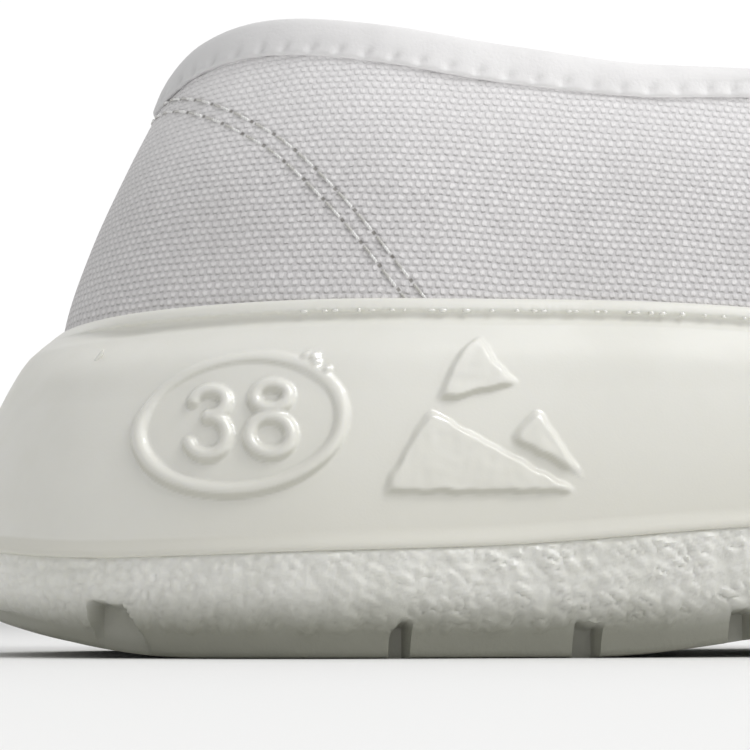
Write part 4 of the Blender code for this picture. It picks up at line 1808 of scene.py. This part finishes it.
    def wall_points(self, sigma: Array) -> Array:
        """Rows of points from inside the lip, down the wall, under the ledge and back up behind it.

        Args:
            sigma: Signed parameters round the sole.

        Returns:
            Rows of points in millimetres, the last the same as the first.
        """
        top, outward = LAST.level_ring(sigma, 1.0, 0.0)
        merged = smooth_step(*self.heel_merge, top[:, 0])
        rows = []
        for out, drop in self.lip_profile.rows:
            full = float(self.heel_lip.curve("drop", "out", np.array(drop))) if out > 0.0 else out
            reach = (out + merged * (full - out))[:, None]
            rows.append(np.column_stack([top[:, :2] + reach * outward, top[:, 2] - drop]))
        edge = rows[-1]
        plan, away = SOLE.outline(sigma), SOLE.outward(sigma)
        ledge = SOLE.ledge(sigma)
        foot = ledge + self.ledge_foot
        for height in np.linspace(1.0, 0.0, self.wall_rows + 1)[1:]:
            at = np.array(height)
            side, heel = (part.curve("height", "inward", at) for part in (self.wall_profile, self.heel_wall))
            flat = plan + (side + merged * (heel - side))[:, None] * (edge[:, :2] - plan)
            rows.append(np.column_stack([flat, foot + height * (edge[:, 2] - foot)]))
        for out, height in self.ledge_profile.rows:
            rows.append(np.column_stack([plan + out * away, ledge + height]))
        rows += [LAST.level_ring(sigma, share, self.hidden_out)[0] for share in self.hidden_shares]
        return np.stack(rows + rows[:1])

    def wall_run(self, sigma: Array, points: Array) -> Array:
        """Length run along the middle of the wall from the heel, negative on the inner side.

        Args:
            sigma: Signed parameters round the sole.
            points: Rows of points of the wall.

        Returns:
            Length run at each parameter.
        """
        length = run_length(points[len(self.lip_profile.rows) + self.wall_rows // 2], 0)
        inner = np.arange(len(sigma)) < int(np.argmax(sigma))
        return np.where(inner, -length, length[-1] - length + self.heel_run)

    def shreds(self, points: Array) -> Array:
        """Torn pattern of the flash left on the edge of the lip.

        Args:
            points: Rows of points of the edge.

        Returns:
            1 on a shred and 0 between them.
        """
        place = points * np.array([1.0, 1.0, self.flash_squash])
        torn = smooth_step(*self.torn_span, soft_noise(place, *self.torn_noise))
        torn = torn * smooth_step(*self.torn_from, place[..., 0])
        return torn * smooth_step(*self.shred_span, layered_noise(place, self.shred_noise))

    def build_wall(self, finish: Material) -> None:
        """Model the lip, groove, wall and ledge with the moulded marks.

        Args:
            finish: Satin sole material.
        """
        sigma = self.wall_ring()
        points = self.wall_points(sigma)
        run = self.wall_run(sigma, points)
        out = unit(np.cross(np.gradient(points, axis=1), np.gradient(points, axis=0)))
        lip_rows = len(self.lip_profile.rows)
        wall = slice(lip_rows, lip_rows + self.wall_rows)
        raised = self.marks.relief(np.broadcast_to(run, points[wall].shape[:2]), points[wall][..., 2])
        easing = smooth_step(0.0, self.sink_rows, np.arange(self.wall_rows))[:, None]
        sunk = self.sink * easing * soft_noise(points[wall], *self.sink_noise)
        points[wall] += (raised + sunk)[..., None] * out[wall]
        edge = slice(*self.flash_rows)
        torn = self.flash * self.shreds(points[edge])
        points[edge] += torn[..., None] * (out[edge] - self.flash_sag * UP)
        points[:, -1] = points[:, 0]
        # Painted shade: darker towards the ledge except near the heel, full foot colour from the ledge down,
        # and darker under the raised marks.
        low, painted_shade = np.zeros(points.shape[:2]), np.zeros(points.shape[:2])
        under = smooth_step(*self.under_span, -np.gradient(raised, axis=0))
        fade = np.linspace(0.0, 1.0, self.wall_rows)[:, None] ** 2
        low[wall] = np.maximum(fade * smooth_step(*self.heel_unshaded, np.abs(run)), under)
        low[wall.stop:] = 1.0
        painted_shade[wall] = self.under_shade * under
        shine = np.full(points.shape[:2], self.satin)
        bent = smooth_step(*self.edge_span, np.hypot(*np.gradient(raised)))
        bent = bent + self.top_shine * smooth_step(*self.top_span, raised)
        shine[wall] += bent * self.marks.gloss(np.broadcast_to(run, raised.shape), points[wall][..., 2])
        piece = Bench.grid("sole_wall", points)
        Bench.add_field(piece, "low", low)
        Bench.add_field(piece, "painted_shade", painted_shade)
        Bench.add_field(piece, "shine", np.clip(shine, 0.0, 1.0))
        Bench.close(piece)
        Bench.fit(piece, "sole", finish)

    def bead_ball(self) -> Array:
        """Ball of radius one as a grid, its poles on the first axis.

        Returns:
            Rows of points from pole to pole.
        """
        turn = np.linspace(0.0, FULL_TURN, self.bead_facets[0] + 1)[:, None]
        lean = np.linspace(0.0, math.pi, self.bead_facets[1] + 1)[None, :]
        parts = (np.cos(lean) + 0.0 * turn, np.sin(lean) * np.cos(turn), np.sin(lean) * np.sin(turn))
        return np.stack(parts, axis=-1)

    def build_flash(self, finish: Material) -> None:
        """Model the beads of flash along the lower edge of the lip, and one tear, and put them on the wall.

        Args:
            finish: Satin sole material.
        """
        sigma = self.wall_ring()
        points, ball = self.wall_points(sigma), self.bead_ball()
        line, flat = points[self.bead_row], LAST.level_ring(sigma, 1.0, 0.0)[1]
        outward = on_plane(*flat.T)
        along, length = unit(np.gradient(line, axis=0)), run_length(line, 0)
        draw = np.random.default_rng(self.bead_seed)
        beads, at = [], 0.0
        while at < length[-1]:
            half, high = draw.uniform(*self.bead_half), draw.uniform(*self.bead_high)
            spot, way, out = (read_at(at, length, part) for part in (line, along, outward))
            if spot[0] > self.bead_from:
                axes = np.stack([half * way, high * out, high * UP])
                beads.append(Bench.grid("lip_bead", spot - self.bead_drop * UP + ball @ axes))
            at += half + draw.uniform(*self.bead_gap)
        wall = points[len(self.lip_profile.rows):][:self.wall_rows]
        run, height, reach = self.tear
        far = np.abs(self.wall_run(sigma, points) - run) + np.abs(wall[..., 2] - height)
        row, column = np.unravel_index(int(np.argmin(far)), far.shape)
        side = outward[column]
        slant = self.tear_slant[0] * along[column] + self.tear_slant[1] * UP
        axes = np.stack([reach * slant, self.tear_half[0] * side, self.tear_half[1] * np.cross(slant, side)])
        beads.append(Bench.grid("wall_tear", wall[row, column] + ball @ axes))
        flash = Bench.join(beads)
        flash.name = "lip_flash"
        Bench.close(flash)
        Bench.add_field(flash, "shine", np.full(len(flash.data.vertices), self.bead_shine))
        flash.data.materials.append(finish)
        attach(flash, "root")

    def band_columns(self) -> tuple[Array, Array]:
        """Columns of the band and tread.

        Returns:
            Parameters from heel to toe and the depth of the cross groove at each.
        """
        marks = [(0.0, 0.0)]
        for along, width, depth in self.cross_grooves.rows:
            left, right = along - width / 2.0, along + width / 2.0
            marks += [(left, 0.0), (left + self.groove_draft, depth)]
            marks += [(right - self.groove_draft, depth), (right, 0.0)]
        marks.append((SOLE.length, 0.0))
        u = np.linspace(0.0, 1.0, SOLE.samples)
        length = run_length(SOLE.outline(-u), 0)
        columns, depths = [0.0], [0.0]
        for (start, cut), (end, cut_next) in zip(marks, marks[1:]):
            run = np.interp(end_rounded(np.array([start, end]) / SOLE.length), u, length)
            pitch = np.interp(start, self.band_pitch.column("along"), self.band_pitch.column("pitch"))
            steps = max(1, math.ceil((run[1] - run[0]) / pitch)) if cut == cut_next else 1
            for step in range(1, steps + 1):
                columns.append(float(np.interp(run[0] + (run[1] - run[0]) * step / steps, length, u)))
                depths.append(cut_next)
        return np.array(columns), np.array(depths)

    def roughen(self, points: Array, sigma: Array, share: Array) -> Array:
        """Outward relief of the frosty band: heel pebbles, slanting flakes forward, slow waves on the lugs.

        Args:
            points: Rows of the band.
            sigma: Signed parameters of its columns.
            share: Share of the height from the tread to the ledge of each row.

        Returns:
            Relief in millimetres.
        """
        length = run_length(SOLE.outline(sigma), 0)
        run = np.broadcast_to(length[-1] - length, points.shape[:2])
        height = points[..., 2]
        slant = math.radians(self.flake_slant)
        long = math.cos(slant) * run + math.sin(slant) * height
        tall = math.cos(slant) * height - math.sin(slant) * run
        flakes = cell_domes(on_plane(long / self.flake_stretch, tall), *self.flake_cell)
        face = on_plane(run, height)
        pebbles = cell_domes(face, *self.pebble_cell)
        fine, coarse = soft_noise(face, *self.fine_noise), soft_noise(face, *self.coarse_noise)
        forward = smooth_step(*self.flakes_from, points[..., 0])
        rough = smooth_step(*self.face_top, share)[:, None] * smooth_step(*self.face_foot, share)[:, None]
        domed, flaky, grainy, wavy, sunk = self.frost_mix
        frost = pebbles * (1.0 - forward) * domed + flaky * flakes * forward
        frost = frost + grainy * fine + wavy * coarse - sunk
        lugs = (1.0 - smooth_step(*self.lug_top, share))[:, None] * self.lug_wave * coarse
        return self.pebble * (rough * frost + lugs)

    def build_band(self, finish: Material) -> None:
        """Model the rough band and the tread with its grooves, closed above by the bed under the insole.

        Args:
            finish: Frosty sole material.
        """
        u, depths = self.band_columns()
        sigma = np.concatenate([u, -u[-2::-1]])
        cut = np.concatenate([depths, depths[-2::-1]])
        plan, away = SOLE.outline(sigma), SOLE.outward(sigma)
        plan[-1], away[-1] = plan[0], away[0]
        ledge = SOLE.ledge(sigma)
        ground = SOLE.tread((plan + self.band_profile.rows[-1][1] * away)[:, 0])
        edge = self.ragged * layered_noise(on_plane(*plan.T), self.ragged_noise)
        turn = np.linspace(0.0, 1.0, self.band_rows + 1)
        share = self.band_profile.curve("turn", "share", turn)
        left, right, flare = self.heel_recess
        heel = plan[:, 0] < right + flare + self.recess_margin
        roof = np.where(heel, self.cross_grooves.rows[0][2], cut) / (ledge - ground)
        rows, sunk = [], []
        for out, part in zip(self.band_profile.curve("turn", "out", turn), share):
            near = smooth_step(*self.ragged_foot, part) * smooth_step(*self.ragged_top, part)
            height = ground + max(part, 0.0) * (ledge - ground) + near * edge
            up = np.clip(1.0 - part / np.maximum(roof, self.roof_least), 0.0, 1.0)
            inside = smooth_step(*self.recess_edge, plan[:, 0] - left)
            inside = inside * smooth_step(*self.recess_edge, right + flare * up - plan[:, 0])
            inside = np.where(heel, inside, cut > 0.0) * smooth_step(*self.roof_edge, roof - part)
            sunk.append(inside * np.maximum(out - np.where(heel, *self.recess_at), 0.0))
            rows.append(np.column_stack([plan + (out - sunk[-1])[:, None] * away, height]))
        points, sunk = np.stack(rows), np.stack(sunk)
        relief = self.roughen(points, sigma, share) * smooth_step(*self.calm_span, sunk)
        relief[:, -1] = relief[:, 0]
        relief[-1] = 0.0
        points[..., :2] += relief[..., None] * away
        band = Bench.grid("sole_band", points)
        # Painted shade: darker towards the ground and on the lugs, a little darker forward of the heel end,
        # in the grooves and in the creases of the relief.
        low = self.low_lugs * smooth_step(*self.low_share, share)[:, None]
        low = np.maximum(smooth_step(*self.low_height, points[..., 2]), low)
        low = low + (1.0 - low) * self.band_shade * smooth_step(*self.band_shade_from, plan[:, 0])
        low = low + (self.groove_low - low) * smooth_step(*self.groove_span, sunk)
        creases = self.low_creases * np.clip(-relief, 0.0, self.crease_depth)
        Bench.add_field(band, "low", np.clip(low + creases, 0.0, 1.0))
        Bench.add_field(band, "shine", np.where(low < self.frost_below, self.frost, 0.0))
        tread_points = self.tread_points(u, depths, points[-1])
        tread = Bench.grid("tread", tread_points)
        # Painted shade: the tread takes the foot colour, a little less on the roofs of its grooves.
        lifted = tread_points[..., 2] > SOLE.tread(tread_points[..., 0]) + self.groove_lift
        Bench.add_field(tread, "low", np.where(lifted, self.groove_low, 1.0))
        bed = Bench.grid("bed", self.bed_points(u, points[0]))
        sole = Bench.join([band, tread, bed])
        Bench.close(sole)
        Bench.pick_only(sole)
        bpy.ops.object.shade_smooth_by_angle(angle=math.radians(self.crease_angle))
        Bench.fit(sole, "sole", finish)

    def tread_points(self, u: Array, depths: Array, rim: Array) -> Array:
        """Rows of the tread from the inner rim to the outer rim.

        Args:
            u: Parameters of the columns from heel to toe.
            depths: Depth of the cross groove at each column.
            rim: Lowest ring of the band, closed on the heel.

        Returns:
            Rows of points in millimetres.
        """
        inner, outer = self.long_groove
        half = [
            (self.tread_rim, False),
            (outer + self.long_draft, False),
            (outer, True),
            (inner, True),
            (inner - self.long_draft, False),
            (self.tread_rib, False),
        ]
        shares = half + [(0.0, False)] + [(-share, sunk) for share, sunk in reversed(half)]
        medial, lateral = rim[:len(u)], rim[::-1][:len(u)]
        number = np.arange(len(u))
        cut = number[depths > 0.0]
        between = (number >= cut[0]) & (number <= cut[-1])
        rows = [medial]
        for share, sunk in shares:
            flat = lateral[:, :2] + (medial[:, :2] - lateral[:, :2]) * (share + 1.0) / 2.0
            lifted = np.maximum(depths, np.where(between & sunk, self.long_depth, 0.0))
            rows.append(np.column_stack([flat, SOLE.tread(flat[:, 0]) + lifted]))
        return np.stack(rows + [lateral])

    def bed_points(self, u: Array, rim: Array) -> Array:
        """Rows of the bed under the insole from the inner rim to the outer rim.

        Args:
            u: Parameters of the columns from heel to toe.
            rim: Highest ring of the band, closed on the heel.

        Returns:
            Rows of points in millimetres.
        """
        medial, lateral = rim[:len(u)], rim[::-1][:len(u)]
        bed = LAST.footbed(u) - self.bed_gap
        rise = smooth_step(*self.bed_rise, medial[:, 1] - lateral[:, 1])
        rows = [medial]
        for share in self.bed_shares:
            spot = lateral + (medial - lateral) * (share + 1.0) / 2.0
            spot[:, 2] += rise * (bed - spot[:, 2])
            rows.append(spot)
        return np.stack(rows + [lateral])


@dataclass(frozen=True)
class Insole:
    """Thin insole on the footbed, dished a little along its middle."""

    inset: float = 2.05
    thick: float = 3.0
    dish: float = 0.7
    dish_power: int = 4
    columns: int = 150
    rows: int = 24

    def build(self, finish: Material) -> None:
        """Model the insole and dress it.

        Args:
            finish: Insole material.
        """
        u = np.linspace(0.0, 1.0, self.columns + 1)
        level = np.zeros_like(u)
        rims = [LAST.shell(side.value * u, level, np.full_like(u, -self.inset)) for side in Side]
        share = np.linspace(-1.0, 1.0, self.rows + 1)[:, None]
        flat = rims[0][None] + (rims[1] - rims[0])[None] * ((share + 1.0) / 2.0)[..., None]
        flat[..., 2] = LAST.footbed(u)[None] + self.thick - self.dish * (1.0 - share ** self.dish_power)
        sheet = Bench.grid("foam_insole", flat)
        Bench.add_uv(sheet, flat[..., :2])
        Bench.close(sheet)
        sheet.data.materials.append(finish)
        Bench.wall(sheet, self.thick - self.dish)
        Bench.fit(sheet, "insole")


@dataclass(frozen=True)
class Studio:
    """Pale floor, soft light and the camera of the photograph."""

    floor_half: float = 4.0
    floor_colour: Colour = (0.86, 0.86, 0.855, 1.0)
    floor_roughness: float = 0.9
    floor_specular: float = 0.2
    mottle_noise: Pair = (6.0, 3.0)
    mottle_shade: float = 0.985
    camera_at: Triple = (-128.58, -225.63, 4.0)
    camera_to: Triple = (-87.0, -30.0, 30.4)
    focal_pixels: float = 1860.0
    frame_pixels: float = 750.0
    sensor: float = 36.0
    nearest: float = 0.01
    back_light: float = 1.04
    front_light: float = 0.495
    left_light: float = 0.81
    depth_span: Pair = (-0.05, 0.45)
    side_span: Pair = (-0.75, 0.05)
    lamps: Table = Table(
        ("x", "y", "z", "size", "power"),
        ((0.34, -0.36, 0.62, 0.60, 3.0), (0.30, -0.30, 0.58, 0.12, 0.65)),
    )

    def build_floor(self) -> None:
        """Lay the floor."""
        bpy.ops.object.select_all(action="DESELECT")
        bpy.ops.mesh.primitive_plane_add(size=2.0 * self.floor_half)
        floor = bpy.context.object
        floor.name = "floor"
        material, graph, shader = new_finish("pale_floor", self.floor_roughness, self.floor_specular)
        mottle = graph.noise(graph.place(), *self.mottle_noise)["Fac"]
        shade = tuple(self.mottle_shade * part for part in self.floor_colour[:3]) + (1.0,)
        graph.fill(shader, Base_Color=graph.tint(mottle, self.floor_colour, shade))
        floor.data.materials.append(material)

    def build_light(self) -> None:
        """Light the studio: brighter behind the shoe, dimmer in front, one soft lamp and one small one."""
        world = bpy.data.worlds.new("studio")
        world.use_nodes = True
        graph = Graph(world.node_tree)
        sky = world.node_tree.nodes["Background"]
        x, y, _ = graph.split(graph.node("ShaderNodeTexCoord").outputs["Generated"])
        depth = graph.ramp(y, *self.depth_span, self.front_light, self.back_light)
        sides = graph.ramp(x, *self.side_span, self.left_light, 1.0)
        graph.fill(sky, Strength=graph.times(depth, sides), Color=(1.0, 1.0, 1.0, 1.0))
        bpy.context.scene.world = world
        for x, y, z, size, power in self.lamps.rows:
            data = bpy.data.lights.new("lamp", "AREA")
            data.energy = power
            data.size = size
            lamp = bpy.data.objects.new("lamp", data)
            lamp.location = (x, y, z)
            aim = Vector(self.camera_to) * MM - lamp.location
            lamp.rotation_euler = aim.to_track_quat("-Z", "Y").to_euler()
            bpy.context.scene.collection.objects.link(lamp)
        bpy.context.scene.view_settings.view_transform = "Standard"

    def build_camera(self) -> None:
        """Stand the camera where the photograph was taken from."""
        data = bpy.data.cameras.new("camera")
        data.sensor_width = self.sensor
        data.lens = self.sensor * self.focal_pixels / self.frame_pixels
        data.clip_start = self.nearest
        camera = bpy.data.objects.new("camera", data)
        camera.location = Vector(self.camera_at) * MM
        aim = (Vector(self.camera_to) - Vector(self.camera_at)) * MM
        camera.rotation_euler = aim.to_track_quat("-Z", "Y").to_euler()
        bpy.context.scene.collection.objects.link(camera)
        bpy.context.scene.camera = camera


def main() -> None:
    """Build the shoe and its studio in order."""
    logging.basicConfig(level=logging.INFO, format="%(message)s")
    effects = Effects()
    wall_finish = MouldedFinish(
        name="satin_sole",
        skin=(0.845, 0.840, 0.786, 1.0),
        smudge=(0.79, 0.783, 0.72, 1.0),
        foot=(0.75, 0.739, 0.670, 1.0),
        roughness=0.46,
        grain_scales=(3500.0, 120.0),
        fine_relief=0.00001,
        broad_relief=0.00006,
        specular=0.35,
    )
    band_finish = MouldedFinish(
        name="frosty_sole",
        skin=(0.885, 0.882, 0.835, 1.0),
        smudge=(0.72, 0.72, 0.65, 1.0),
        foot=(0.30, 0.30, 0.25, 1.0),
        roughness=0.52,
        grain_scales=(1500.0, 120.0),
        fine_relief=0.00008,
        broad_relief=0.00010,
        translucent=0.15,
    )
    lining = ClothFinish(
        name="cotton_lining",
        yarn=(0.80, 0.79, 0.78, 1.0),
        gap=(0.56, 0.55, 0.54, 1.0),
        pitch=(0.50, 0.50),
        smudge_share=0.25,
        relief=0.00010,
    )
    facing = ClothFinish(
        name="insole_cloth",
        yarn=(0.66, 0.655, 0.65, 1.0),
        gap=(0.44, 0.435, 0.43, 1.0),
        pitch=(0.9, 0.6),
        smudge_share=0.3,
        relief=0.00015,
    )
    seam = StitchSeam()
    CanvasUpper().build(seam, CanvasFinish(), lining, effects)
    seam.build(ThreadFinish().material(seam.stitch))
    CollarTape().build(TapeFinish().material(effects))
    sole = MouldedSole()
    satin = wall_finish.material(effects)
    sole.build_wall(satin)
    sole.build_flash(satin)
    sole.build_band(band_finish.material(effects))
    Insole().build(facing.material(effects))
    studio = Studio()
    studio.build_floor()
    studio.build_light()
    studio.build_camera()


if __name__ == "__main__":
    main()
